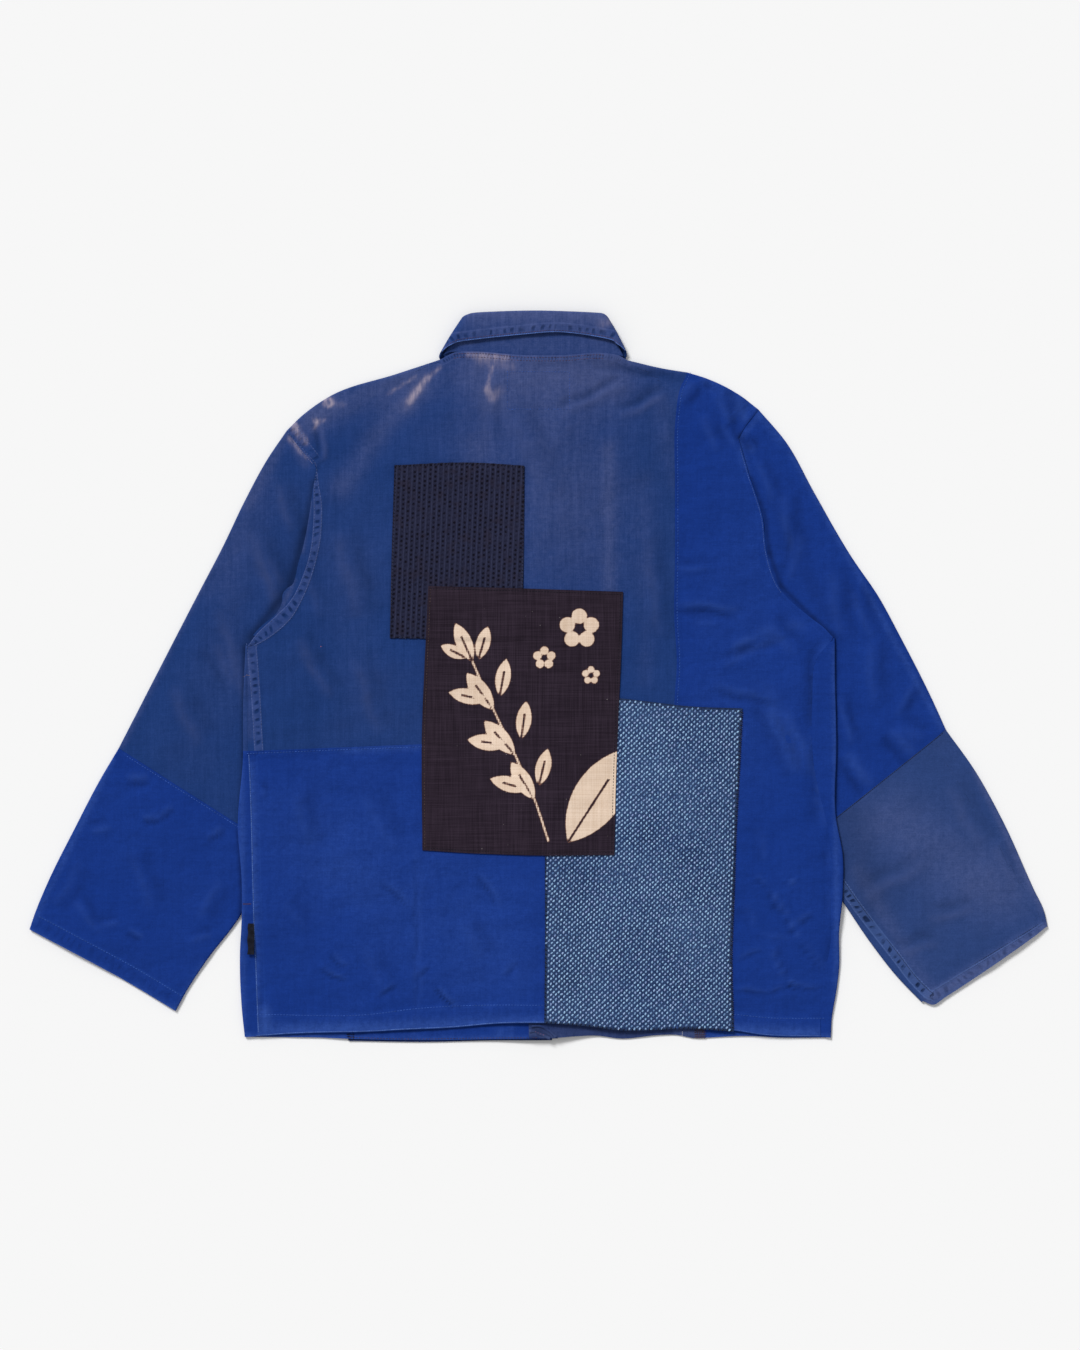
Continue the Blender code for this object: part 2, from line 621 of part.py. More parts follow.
def make_collar():
    """A stand round the neck, and a leaf that folds out over it."""
    stand, leaf = ([], []), ([], [])
    for seam_x, seam_y, fold_x, fold_y, leaf_x, leaf_y, turn in COLLAR:
        along = np.array((fold_x - seam_x, fold_y - seam_y, 0.0))
        along /= np.linalg.norm(along)
        side = math.copysign(1, seam_x)
        level = math.radians(turn)
        across = side * np.array((along[1], -along[0], 0.0))
        way = math.cos(level) * across + math.sin(level) * np.array((0, 0, 1))
        base = COLLAR_TURN * way + np.array((0, 0, COLLAR_MIDDLE))
        seam = np.array((seam_x, seam_y, 0.0)) + base
        radius = LEAF_OFF / 2
        crown = np.array((fold_x, fold_y, 0.0)) + base - radius * along
        edge = np.array((leaf_x, leaf_y, 0.0)) + base + (LEAF_OFF + (LEAF_LIFT if turn == 90 else 0)) * way
        for face, depth in ((0, CLOTH / 2), (1, -CLOTH / 2)):
            stand[face].append([p + depth * way for p in (seam, crown - (radius + 4 * AIR) * along)])
            arc = [
                crown + radius * way + (radius + depth) * (math.sin(a) * along - math.cos(a) * way)
                for a in (0, math.pi / 3, 2 * math.pi / 3, math.pi)
            ]
            begin = crown - radius * along - depth * way
            fall = edge + depth * way - arc[-1]
            leaf[face].append([begin] + arc + [arc[-1] + fall * share for share in LEAF_STEPS])
    shell("collar_stand", *stand, "faded_indigo", closed=False)
    shell("collar_leaf", *leaf, "faded_indigo", closed=False)


def make_loop():
    """A folded loop of tape in the left side seam, lying outwards on the strip beside it."""
    strip = [(side_strip(level, "left")[0][1:3]) for level in between(LEVELS, "front_hem", "armpit")]
    radius = LOOP_CLOTH + AIR / 2
    rows = []
    for y in np.linspace(LOOP_FROM, LOOP_TO, LOOP_PARTS):
        seam, low = read_line(DOWN, "left_seam", y), read(strip, y) + AIR
        tip = np.array((seam - LOOP_OUT + radius, y))
        end = half_round(tip, np.array((-1, 0)), low + radius, radius, radius)
        rows.append([np.array((seam, y, low + 2 * radius))] + end + [np.array((seam, y, low))])
    cloth("side_loop", [rows], "label_dark", outside_up=False, thickness=LOOP_CLOTH)


def make_buttons():
    """Plain dished buttons, face down under the placket."""
    radius = BUTTON_SIZE / 2
    profile = (
        (0, BUTTON_HEIGHT), (radius - BUTTON_ROUND, BUTTON_HEIGHT), (radius, BUTTON_HEIGHT / 2),
        (radius - BUTTON_ROUND, 0), (radius - BUTTON_RIM, 0), (radius - BUTTON_RIM - BUTTON_DISH, BUTTON_DISH),
        (0, BUTTON_DISH),
    )
    for number, y in enumerate(BUTTON_Y, 1):
        mesh = bmesh.new()
        points = [mesh.verts.new(Vector((BUTTON_X + r, y, z)) * MM) for r, z in profile]
        edges = [mesh.edges.new(pair) for pair in zip(points, points[1:])]
        middle = Vector((BUTTON_X, y, 0)) * MM
        bmesh.ops.spin(
            mesh, geom=points + edges, cent=middle, axis=(0, 0, 1), angle=math.tau, steps=BUTTON_SIDES
        )
        bmesh.ops.remove_doubles(mesh, verts=mesh.verts, dist=0.00001)
        bmesh.ops.recalc_face_normals(mesh, faces=mesh.faces)
        add_object(f"button_{number}", mesh, "button_plastic")


def make_material(slot, red, green, blue, roughness):
    material = bpy.data.materials.new(slot)
    material.use_nodes = True
    shader = material.node_tree.nodes["Principled BSDF"]
    shader.inputs["Base Color"].default_value = (red, green, blue, 1)
    shader.inputs["Roughness"].default_value = roughness
    shader.inputs["Metallic"].default_value = 0
    return material


for leftover in list(bpy.data.objects):
    bpy.data.objects.remove(leftover, do_unlink=True)

JACKET = bpy.data.collections.new("patched_jacket")
bpy.context.scene.collection.children.link(JACKET)
MATERIALS = {slot: make_material(slot, *values) for slot, values in COLOURS.items()}

make_fronts()
make_back()
make_patches()
make_sleeve("left", LEFT_SLEEVE, ("faded_indigo", "royal_cotton"))
make_sleeve("right", RIGHT_SLEEVE, ("royal_cotton", "sleeve_faded"))
make_collar()
make_loop()
make_buttons()
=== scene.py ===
# %% [markdown]
# # A patched work jacket, laid on its front
#
# The jacket lies flat with its back upwards: two fronts below, three back panels above them, three patches sewn
# on the back, flattened sleeves that pass under the sides of the body, and a collar folded over its stand.
# The solids from the workshop give every layer its place. This lesson lays a fine, creased cloth over each
# solid, sews it with small stitches and dyes it; some shade and highlight are painted into that colour.

# %% Open the solids
import math

import bmesh
import bpy
import numpy as np
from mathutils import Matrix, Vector
from mathutils.bvhtree import BVHTree


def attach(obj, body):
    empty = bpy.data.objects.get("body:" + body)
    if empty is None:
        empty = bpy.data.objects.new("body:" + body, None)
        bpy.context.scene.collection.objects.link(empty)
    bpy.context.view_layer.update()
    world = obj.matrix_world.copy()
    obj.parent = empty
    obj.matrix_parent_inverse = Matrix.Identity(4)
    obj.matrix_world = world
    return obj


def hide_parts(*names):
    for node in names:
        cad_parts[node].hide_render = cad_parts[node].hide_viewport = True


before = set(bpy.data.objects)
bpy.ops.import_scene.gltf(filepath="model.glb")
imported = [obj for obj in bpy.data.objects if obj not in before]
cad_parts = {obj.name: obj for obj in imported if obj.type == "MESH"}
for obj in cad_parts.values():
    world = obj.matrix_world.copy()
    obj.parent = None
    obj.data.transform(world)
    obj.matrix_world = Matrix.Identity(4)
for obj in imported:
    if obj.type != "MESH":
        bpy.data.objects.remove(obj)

for name in ("Cube", "Light", "Camera"):  # what a new file starts with
    if name in bpy.data.objects:
        bpy.data.objects.remove(bpy.data.objects[name], do_unlink=True)
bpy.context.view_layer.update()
MM = 0.001  # everything below is written in millimetres
CLOTH, AIR = 1.2, 0.3  # wall of the cloth, and the air between two layers
LAYER = CLOTH + AIR
CELL = 3.0  # distance between the points of the fine cloth

# %% [markdown]
# ## Lines and panels
#
# A tailor cuts along smooth lines, so every outline here is a short list of points with a smooth line drawn
# through them. A panel is then a grid stretched between four such lines: each row slides evenly from the left
# line to the right one. Such a grid follows curved edges exactly, which a square grid cut out by an outline
# would not.


# %% Smooth lines and grids between four of them
def cubic(s, start, end, slope, end_slope, step=1.0):
    """From start to end as s goes from 0 to 1, with a given slope at both."""
    return (
        (2 * s**3 - 3 * s**2 + 1) * start + (s**3 - 2 * s**2 + s) * step * slope
        + (3 * s**2 - 2 * s**3) * end + (s**3 - s**2) * step * end_slope
    )


def through(points, count):
    """Evenly spaced points on the smooth line through a few given ones."""
    given = np.array(points, float)
    at = np.r_[0, np.cumsum(np.linalg.norm(np.diff(given, axis=0), axis=1))]
    slope = np.gradient(given, at, axis=0)
    fine = np.linspace(0, at[-1], 30 * len(given))
    i = np.clip(np.searchsorted(at, fine, "right") - 1, 0, len(given) - 2)
    step = (at[i + 1] - at[i])[:, None]
    line = cubic((fine - at[i])[:, None] / step, given[i], given[i + 1], slope[i], slope[i + 1], step)
    length = np.r_[0, np.cumsum(np.linalg.norm(np.diff(line, axis=0), axis=1))]
    places = np.linspace(0, length[-1], count)
    return np.stack([np.interp(places, length, line[:, k]) for k in range(line.shape[1])], axis=1)


def length_of(points):
    return float(np.linalg.norm(np.diff(np.array(points, float), axis=0), axis=1).sum())


def count_for(*lines, cell=CELL):
    return max(2, round(max(length_of(line) for line in lines) / cell) + 1)


def joined(*lines, cell=CELL):
    """Several smooth lines end to end, with a corner where they meet."""
    parts = [through(line, count_for(line, cell=cell)) for line in lines]
    return np.concatenate([parts[0]] + [part[1:] for part in parts[1:]])


def between(low, high, left, right):
    """A grid of points between four lines of points; low and high run to the right, left and right run up."""
    u, v = np.linspace(0, 1, len(low))[None, :, None], np.linspace(0, 1, len(left))[:, None, None]
    sides = (1 - u) * left[:, None] + u * right[:, None]
    ends = (1 - v) * low[None] + v * high[None]
    corners = (1 - v) * ((1 - u) * low[0] + u * low[-1]) + v * ((1 - u) * high[0] + u * high[-1])
    return sides + ends - corners


def panel(left, right, low, high, cell=CELL):
    """A grid between four smooth lines that are given by a few points each."""
    rows, columns = count_for(left, right, cell=cell), count_for(low, high, cell=cell)
    return between(through(low, columns), through(high, columns), through(left, rows), through(right, rows))


# %% [markdown]
# ## The height of each layer
#
# How high a layer lies is read from its solid: a ray is dropped on the solid at every 5 mm, and the heights
# are softened until none of the solid's facets is left. The result is a soft form to lay the cloth on.


# %% Soft heights read from the solids
def ease(low, high, value):
    """0 at low, 1 at high, with soft ends."""
    share = np.clip((np.asarray(value, float) - low) / (high - low), 0, 1)
    return share * share * (3 - 2 * share)


def bell(off, width=1.0):
    """1 in the middle, falling away softly over this width on both sides."""
    return np.exp(-((off / width) ** 2))


def neighbours(grid):
    padded = np.pad(grid, 1, mode="edge")
    return np.stack([padded[:-2, 1:-1], padded[2:, 1:-1], padded[1:-1, :-2], padded[1:-1, 2:], grid])


class Form:
    """The softened upper or lower face of some solids, as a height for any place in plan."""

    STEP = 5.0

    def __init__(self, *names, upper=True, soften=6):
        trees, corners = [], []
        for name in names:
            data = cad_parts[name].data
            points = [v.co.copy() for v in data.vertices]
            trees.append(BVHTree.FromPolygons(points, [p.vertices[:] for p in data.polygons]))
            corners += [np.min(points, axis=0), np.max(points, axis=0)]
        low, high = np.min(corners, axis=0)[:2] / MM, np.max(corners, axis=0)[:2] / MM
        self.low = low - self.STEP
        columns, rows = np.ceil((high - low) / self.STEP).astype(int) + 3
        heights = np.full((rows, columns), np.nan)
        way, best = (-1, max) if upper else (1, min)
        start = Vector((0, 0, -0.1 * way))
        for j in range(rows):
            for i in range(columns):
                start.x, start.y = (self.low[0] + i * self.STEP) * MM, (self.low[1] + j * self.STEP) * MM
                hits = [hit.z / MM for hit in (tree.ray_cast(start, Vector((0, 0, way)))[0] for tree in trees) if hit]
                if hits:
                    heights[j, i] = best(hits)
        while np.isnan(heights).any():
            around = neighbours(heights)
            known = ~np.isnan(around)
            mean = np.where(known, around, 0).sum(axis=0) / np.maximum(known.sum(axis=0), 1)
            heights = np.where(np.isnan(heights) & known.any(axis=0), mean, heights)
        for _ in range(soften):
            heights = neighbours(heights).mean(axis=0)
        self.heights = heights

    def __call__(self, points):
        at = (np.asarray(points, float)[..., :2] - self.low) / self.STEP
        at = np.clip(at, 0, np.array(self.heights.shape)[::-1] - 1.001)
        i, j = at[..., 0].astype(int), at[..., 1].astype(int)
        u, v = at[..., 0] - i, at[..., 1] - j
        h = self.heights
        return (
            (1 - u) * (1 - v) * h[j, i] + u * (1 - v) * h[j, i + 1]
            + (1 - u) * v * h[j + 1, i] + u * v * h[j + 1, i + 1]
        )


BACK_FORM = Form("back_upper", "back_lower_left", "back_right")
print("back lies between", BACK_FORM.heights.min().round(2), "and", BACK_FORM.heights.max().round(2), "mm")

# %% [markdown]
# ## Creases, waves, wear and painted shade
#
# Pressed and slept-in cotton keeps a few sharp creases among very shallow waves. Each crease is a short line
# with a width and a height, given in a table. Wear and painted shade are kept the same way: each faded or bleached
# place, and each place of painted shade where shadow falls, is a short stroke of a brush. Both are numbers for each
# point of the cloth, so the colour can follow them later: the creases' troughs are painted darker as shade.


# %% Distances to strokes and to seams
def from_stroke(points, stroke):
    """How far each place is from a straight stroke, and its share of the way along it."""
    start, end = np.array(stroke[:2], float), np.array(stroke[2:4], float)
    run = end - start
    share = np.clip((points[..., :2] - start) @ run / max(run @ run, 1e-6), 0, 1)
    return np.linalg.norm(points[..., :2] - start - share[..., None] * run, axis=-1), share


def wandering(points, size=1.5):
    """Places shifted a little, so that straight strokes laid over them come out bent."""
    x, y = points[..., 0], points[..., 1]
    shift = np.stack([np.sin(y / 8.1 + np.sin(x / 13)), np.sin(x / 7.3 + np.sin(y / 11))], axis=-1)
    return points[..., :2] + size * shift


def by_crease(points, table):
    """For each crease of a table of x, y, x, y, width, height: its width and height, then for each place how far
    it is from the crease, the same in widths with its side as a sign, and how full the crease is there."""
    points = wandering(points)
    for x, y, end_x, end_y, width, height in table:
        away, share = from_stroke(points, (x, y, end_x, end_y))
        side = (end_x - x) * (points[..., 1] - y) - (end_y - y) * (points[..., 0] - x)
        yield width, height, away, np.copysign(away, side) / width, np.sqrt(np.sin(np.pi * share) + 1e-9)


def creased(points, table):
    """Sum of all creases of a table. Beside each crease the cloth swings back."""
    total = np.zeros(points.shape[:-1])
    for width, height, away, aside, full in by_crease(points, table):
        total += height * (bell(away, width) - 0.5 * bell(aside - 1.7)) * full
    return total


def crease_marks(points, table):
    """How much of a trough and of a ridge each place is. Raised creases have their trough beside them."""
    marks = np.zeros((*points.shape[:-1], 3))
    for width, height, away, aside, full in by_crease(points, table):
        middle = bell(away, 0.5 * width + 0.5) * (abs(height) * full)
        swing = np.exp(-((aside - 1.5) ** 2) * 2) * (abs(height) * full)
        pair = (swing, middle) if height > 0 else (middle, swing)
        marks[..., 0], marks[..., 1] = np.maximum(marks[..., 0], pair[0]), np.maximum(marks[..., 1], pair[1])
    return marks


def brushed(points, table):
    """How strongly a table of strokes of x, y, x, y, width, strength covers each place."""
    clear = np.ones(points.shape[:-1])
    for stroke in table:
        away, _ = from_stroke(points, stroke)
        clear *= 1 - stroke[5] * bell(away, stroke[4])
    return 1 - clear


def waves(points, seed, size, height):
    """Shallow waves in many directions, of about this size and height."""
    rng = np.random.default_rng(seed)
    total = np.zeros(points.shape[:-1])
    for _ in range(9):
        turn, phase = rng.uniform(0, math.tau, 2)
        spacing = size * rng.uniform(0.6, 1.7)
        run = points[..., 0] * math.cos(turn) + points[..., 1] * math.sin(turn)
        total += np.sin(math.tau * run / spacing + phase)
    return total * height / 3


def beside(points, line):
    """For each place: how far along a line of points it is, and how far to the right of it."""
    line = np.asarray(line, float)[:, :2]
    run = np.diff(line, axis=0)
    size = np.linalg.norm(run, axis=1)
    flat = points.reshape(-1, points.shape[-1])[:, :2]
    off = flat[:, None] - line[None, :-1]
    share = np.clip((off * run).sum(-1) / size**2, 0, 1)
    off = off - share[..., None] * run
    away = np.linalg.norm(off, axis=-1)
    near = away.argmin(axis=1)
    row = np.arange(len(flat))
    off, share, run = off[row, near], share[row, near], run[near]
    right = np.where(run[:, 0] * off[:, 1] - run[:, 1] * off[:, 0] > 0, -1.0, 1.0)
    along = np.r_[0, np.cumsum(size)][near] + share * size[near]
    return along.reshape(points.shape[:-1]), (right * away[row, near]).reshape(points.shape[:-1])


def felled(points, line, row):
    """Place by a felled seam: how far along its line, and the share of the way from the line to its other row.

    The row is a second line of points, or its distance to the right of the line; to its left if it is negative.
    """
    along, off = beside(points, line)
    if np.ndim(row) == 0:
        return along, off / row
    reach = beside(points, row)[1]
    share = np.where(off < 0, off / 9, np.where(reach > 0, 1 + reach / 9, off / np.maximum(off - reach, 0.01)))
    return along, np.where((along > 0.01) & (along < length_of(line) - 0.01), share, 9.0)


# %% [markdown]
# ## From a grid to a cloth
#
# A grid of points becomes an open surface, and Solidify gives it the cloth's wall. Each point also carries
# its wear, its painted shade and its place beside the nearest seam: how far along it and how far off it. With
# these, the colour can draw the puckers of a felled seam exactly, however coarse the mesh is; their hollows are
# painted darker as shade.


# %% Sew a piece
SEWN, TRIM = {}, {}  # each cloth by name, and the pieces sewn on it


def put(name, data):
    """Puts a mesh, a lamp or a camera into the scene."""
    piece = bpy.data.objects.new(name, data)
    bpy.context.scene.collection.objects.link(piece)
    return piece


def note(data, name, values):
    """Writes one number, a vector or a colour on each point of a mesh."""
    size = values.size // len(values)
    kind, field = {1: ("FLOAT", "value"), 3: ("FLOAT_VECTOR", "vector"), 4: ("FLOAT_COLOR", "color")}[size]
    data.attributes.new(name, kind, "POINT").data.foreach_set(field, values.ravel())


def nearest_seam(places, seams):
    """For each place: how far along its nearest seam it is, how far across it, and how strong the puckers are."""
    nearest = np.full((len(places), 3), (0.0, 99.0, 0.0))
    best = np.full(len(places), 99.0)
    for line, row, strength, *closer_by in seams:
        along, share = felled(places, line, row)
        along = along * (closer_by or [1.0])[0]
        closer = np.abs(share - 0.5) < best
        best = np.where(closer, np.abs(share - 0.5), best)
        nearest[closer] = np.stack([along, share, np.full(len(along), strength)], axis=1)[closer]
    return nearest


def sew(name, blocks, outside_up=True, wall=CLOTH, fade=(), bleach=(), dark=(), seams=(), mark=None, creases=(),
        own_solid=True):
    """A piece of cloth through blocks of points, in place of the solid of its name.

    Seams are (line, row, strength of the puckers), and a fourth number above 1 sets the puckers closer.
    """
    mesh = bmesh.new()
    for block in blocks:
        grid = [[mesh.verts.new(Vector(point) * MM) for point in row] for row in block]
        faces = [
            mesh.faces.new(corners)
            for low, high in zip(grid, grid[1:]) for corners in zip(low, low[1:], high[1:], high)
        ]
        if block is blocks[0]:
            first = faces[len(faces) // 2 // (len(block[0]) - 1) * (len(block[0]) - 1) + 3]
    bmesh.ops.remove_doubles(mesh, verts=mesh.verts, dist=0.00002)
    bmesh.ops.recalc_face_normals(mesh, faces=mesh.faces)
    if (first.normal.z > 0) != outside_up:
        bmesh.ops.reverse_faces(mesh, faces=mesh.faces)
    data = bpy.data.meshes.new(name)
    mesh.to_mesh(data)
    mesh.free()
    places = np.array([v.co for v in data.vertices]) / MM
    # Of these strokes, fade and bleach are wear; dark is painted shade: contact shadows and shade in creases darkening
    # the colour.
    wear_and_shade = [brushed(places, table) for table in (fade, bleach, dark)] + [np.ones(len(places))]
    note(data, "wear_and_shade", np.stack(wear_and_shade, axis=1))
    if creases:
        note(data, "crease", crease_marks(places, creases))
    note(data, "seam", nearest_seam(places, seams))
    if mark:
        note(data, "print", mark(places))
    piece = SEWN[name] = put(f"{name}_cloth", data)
    thick = piece.modifiers.new("Wall", "SOLIDIFY")
    thick.thickness, thick.offset = wall * MM, -1
    return keep(piece, [name] if own_solid else [], *CUTS[name][:2])


def keep(piece, nodes, slot, finish):
    mesh = bpy.data.meshes.new_from_object(piece.evaluated_get(bpy.context.evaluated_depsgraph_get()))
    piece.modifiers.clear()
    piece.data = mesh
    mesh.name = piece.name
    for vertex in mesh.vertices:
        vertex.co.z = max(vertex.co.z, 0.0)
    mesh.shade_smooth()
    mesh.set_sharp_from_angle(angle=math.radians(50))
    mesh.materials.clear()
    mesh.materials.append(finish)
    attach(piece, "root")
    if nodes:
        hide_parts(*nodes)
    print(piece.name, sum(len(p.vertices) - 2 for p in mesh.polygons), "triangles")
    return piece


def lift(plan, height):
    """A grid in plan with a height for each point."""
    return np.concatenate([plan[..., :2], height(plan)[..., None]], axis=-1)


def bend(edge, out, high, low, radius, steps=7):
    """A fold from its top to its underside: points of its edge in plan, the way out, and its two heights."""
    middle, half = (high + low) / 2, (high - low) / 2
    rows = []
    for a in np.radians(np.linspace(90, -90, steps)):
        reach = radius * (math.cos(a) - 1)
        rows.append(np.c_[edge + out * reach, middle + half * math.sin(a)])
    return np.array(rows)


def outward(line, side):
    """The way out of a line of points in plan: to its right for 1, to its left for -1."""
    run = np.gradient(line[:, :2], axis=0)
    run /= np.linalg.norm(run, axis=1)[:, None]
    return side * np.c_[run[:, 1], -run[:, 0]]


print("the cloth's cells are", CELL, "mm")

# %% [markdown]
# ## Outlines
#
# X runs to the wearer's right, Y to the collar. All lines down the body are written from the hem up, and all
# lines across it from left to right, so that neighbouring panels can share them.

# %% Outlines of the body
LEFT_SIDE_LOW = [(-289.5, -370), (-291, -332), (-293, -281), (-295, -216), (-299, -85), (-299.5, -76)]
LEFT_SIDE_HIGH = [(-299.5, -76), (-300, -20), (-299.5, 24), (-299, 33)]
LEFT_ARMHOLE = [
    (-299, 33), (-292, 42.5), (-271, 63), (-256.5, 78), (-242, 107), (-235, 132), (-232, 164), (-231.5, 200),
    (-229, 217),
]
LEFT_ARMHOLE_TOP = [(-229, 217), (-245, 235), (-260, 254)]
RIGHT_SIDE = [
    (290.5, -370.5), (291, -332), (293, -312), (300, -281), (301, -229), (300, -171), (283, -85), (282, -23),
    (286, 18), (303.5, 40.5),
]
RIGHT_ARMHOLE = [(303.5, 40.5), (294, 51), (281, 61), (247, 94), (235, 130), (231, 164), (216, 211.5), (206, 246.5)]
RIGHT_ARMHOLE_TOP = [(206, 246.5), (214, 260), (227, 276)]
LEFT_SHOULDER = [(-260, 254), (-246, 268), (-215, 290), (-146, 313), (-100, 328)]
NECK = [(-100, 328), (-87, 334.5), (-69, 335.5), (-14, 331.5), (23, 331.5), (69, 333.7), (84, 331), (91, 327)]
RIGHT_SHOULDER_NEAR = [(91, 327), (128, 318.5), (153.5, 314.5)]
RIGHT_SHOULDER_FAR = [(153.5, 314.5), (174, 308), (210.5, 289), (227, 276)]
BACK_SEAM_LOW = [(140, -361.5), (140, -200), (140, -62)]
BACK_SEAM_HIGH = [
    (140, -62), (140, -26), (142.5, 15), (140, 59), (140.6, 130), (140.6, 200), (141.5, 270), (146, 298),
    (153.5, 314.5),
]
CROSS_SEAM = [(-299.5, -76), (-210, -72.5), (-121, -69), (-60, -66), (140, -62)]
BACK_HEM_LEFT = [
    (-289.5, -370), (-256, -367.5), (-215, -366), (-172, -365), (-136, -363), (-91, -361), (-40, -356.5),
    (6, -355.6), (80, -359), (140, -361.5),
]
BACK_HEM_RIGHT = [(140, -361.5), (202, -364), (231, -368.5), (290.5, -370.5)]
LEFT_FOLD = [(-303, -371), (-306, -342), (-308, -286), (-306, -250), (-306, -209), (-310, -154), (-304.5, -80),
             (-304.5, -40), (-303.5, 0), (-302, 33)]
RIGHT_FOLD = [(301.5, -371.5), (302.5, -352), (307, -325), (310, -301), (310, -260), (313, -230), (313.5, -183),
              (306.5, -144), (307, -71), (305.5, 15), (305.5, 40.5)]
FRONT_HEM_LEFT = [(-303, -371), (-229, -371.5), (-197, -372.6), (-110, -374), (-51, -373), (20, -372)]
FRONT_HEM_CENTRE = [(-10, -371.6), (14, -371.6), (39, -370), (60, -369.5), (84, -372.6), (125, -368.9),
                    (142, -368.7), (162, -372.3), (171, -371.8)]
FRONT_HEM_RIGHT = [(171, -371.8), (217, -369.9), (245, -371.5), (301.5, -371.5)]
print("body is", max(x for x, _ in RIGHT_FOLD) - min(x for x, _ in LEFT_FOLD), "mm wide at its widest")

# %% [markdown]
# ## A small language for materials
#
# A material is a recipe of nodes. Written out link by link it is hard to read, so a socket is wrapped in a
# small class here: sums with it add Math nodes, and a longer recipe reads like a formula. All patterns are in
# the jacket's own millimetres, taken from Object coordinates, so that a weave has its true size.


# %% Sockets that can be added and multiplied
class Value:
    """A number on its way through a material."""

    def __init__(self, recipe, socket):
        self.recipe, self.socket = recipe, socket

    def math(self, operation, first, second=0.0):
        return self.recipe.add("ShaderNodeMath", {"operation": operation}, {0: first, 1: second})

    def __add__(self, other):
        return self.math("ADD", self, other)

    def __sub__(self, other):
        return self.math("SUBTRACT", self, other)

    def __rsub__(self, other):
        return self.math("SUBTRACT", other, self)

    def __mul__(self, other):
        return self.math("MULTIPLY", self, other)

    def __truediv__(self, other):
        return self.math("DIVIDE", self, other)

    __radd__, __rmul__ = __add__, __mul__

    def wave(self, spacing):
        """Rises and falls between 0 and 1 once every so many millimetres."""
        return self.math("SINE", self * (math.tau / spacing)) * 0.5 + 0.5

    def part(self):
        return self.math("FRACT", self)

    def size(self):
        return self.math("ABSOLUTE", self)

    def least(self, other):
        return self.math("MINIMUM", self, other)

    def rise(self, low, high):
        """0 below low and 1 above high, soft between them; falls where low is the greater."""
        if low > high:
            return 1 - self.rise(high, low)
        return self.recipe.add("ShaderNodeMapRange", {"interpolation_type": "SMOOTHSTEP"},
                               {"Value": self, "From Min": low, "From Max": high})


class Nodes:
    """A tree of nodes. add() puts in any node and gives back its first output."""

    def __init__(self, tree):
        self.tree = tree

    def add(self, kind, settings=None, values=None, output=0):
        node = self.tree.nodes.new(kind)
        for key, value in (settings or {}).items():
            setattr(node, key, value)
        for key, value in (values or {}).items():
            if isinstance(value, Value):
                self.tree.links.new(value.socket, node.inputs[key])
            else:
                node.inputs[key].default_value = value
        return Value(self, node.outputs[output])


class Recipe(Nodes):
    """A material being mixed."""

    def __init__(self, name, roughness=0.95, specular=0.12):
        self.material = bpy.data.materials.new(name)
        self.material.use_nodes = True
        super().__init__(self.material.node_tree)
        self.shader = self.tree.nodes["Principled BSDF"]
        self.shader.inputs["Roughness"].default_value = roughness
        self.shader.inputs["Specular IOR Level"].default_value = specular
        place = self.add("ShaderNodeTexCoord", output="Object")
        self.place = self.add("ShaderNodeVectorMath", {"operation": "SCALE"}, {0: place, "Scale": 1 / MM})
        self.x, self.y, self.z = self.split(self.place)
        # dark is painted shade, darkening the colour where shadows fall
        self.fade, self.bleach, self.dark = self.noted("wear_and_shade")
        self.trough, self.ridge, _ = self.noted("crease")
        self.along, self.across, self.puckers = self.noted("seam")

    def noted(self, name):
        """What is written on the cloth's points under this name."""
        return self.split(self.add("ShaderNodeAttribute", {"attribute_name": name}, output="Vector"))

    def split(self, vector):
        parts = self.add("ShaderNodeSeparateXYZ", values={0: vector}).socket.node
        return [Value(self, parts.outputs[k]) for k in range(3)]

    def noise(self, across, along=None, detail=2.0, turn=0.0, seed=0.0):
        """Noise with patches of about this size in millimetres, across and along the jacket, turned in degrees."""
        along = along or across
        placed = self.add("ShaderNodeMapping", values={
            "Vector": self.place, "Rotation": (0, 0, math.radians(turn)), "Location": (seed, seed, seed),
            "Scale": (1 / across, 1 / along, 1 / max(across, along)),
        })
        return self.add("ShaderNodeTexNoise", values={"Vector": placed, "Scale": 1.0, "Detail": detail})

    def mix(self, first, second, share):
        node = self.tree.nodes.new("ShaderNodeMix")
        node.data_type = "RGBA"
        for key, value in ((0, share), (6, first), (7, second)):
            if isinstance(value, Value):
                self.tree.links.new(value.socket, node.inputs[key])
            else:
                node.inputs[key].default_value = (*value, 1) if isinstance(value, tuple) else value
        return Value(self, node.outputs[2])

    def done(self, colour, height=None, depth=0.3):
        """Gives the shader its colour, and a relief of this depth in millimetres."""
        if isinstance(colour, Value):
            self.tree.links.new(colour.socket, self.shader.inputs["Base Color"])
        else:
            self.shader.inputs["Base Color"].default_value = (*colour, 1)
        if height is not None:
            bump = self.add("ShaderNodeBump", values={"Height": height, "Distance": depth * MM})
            self.tree.links.new(bump.socket, self.shader.inputs["Normal"])
        return self.material


# %% [markdown]
# ## Dyed cotton
#
# The jacket's cottons are one weave in four dyes, so one function makes them all: a deep colour where the
# dye is whole and a worn one where it has faded. Fading follows the brushed strokes, runs in fine streaks
# along the warp and shows most on the raised parts, where the paler ridges of creases are partly rubbed wear and
# partly painted highlight; the creases' troughs and the dark strokes are painted shade. Along a felled seam the
# cloth puckers: between its two rows of stitches, dark hollows, darkened as painted shade, alternate with pale
# rubbed ridges.


# %% Cotton
PUCKER_APART, TWILL_APART = 8.4, 1.25


def times(colour, share):
    return tuple(c * share for c in colour)


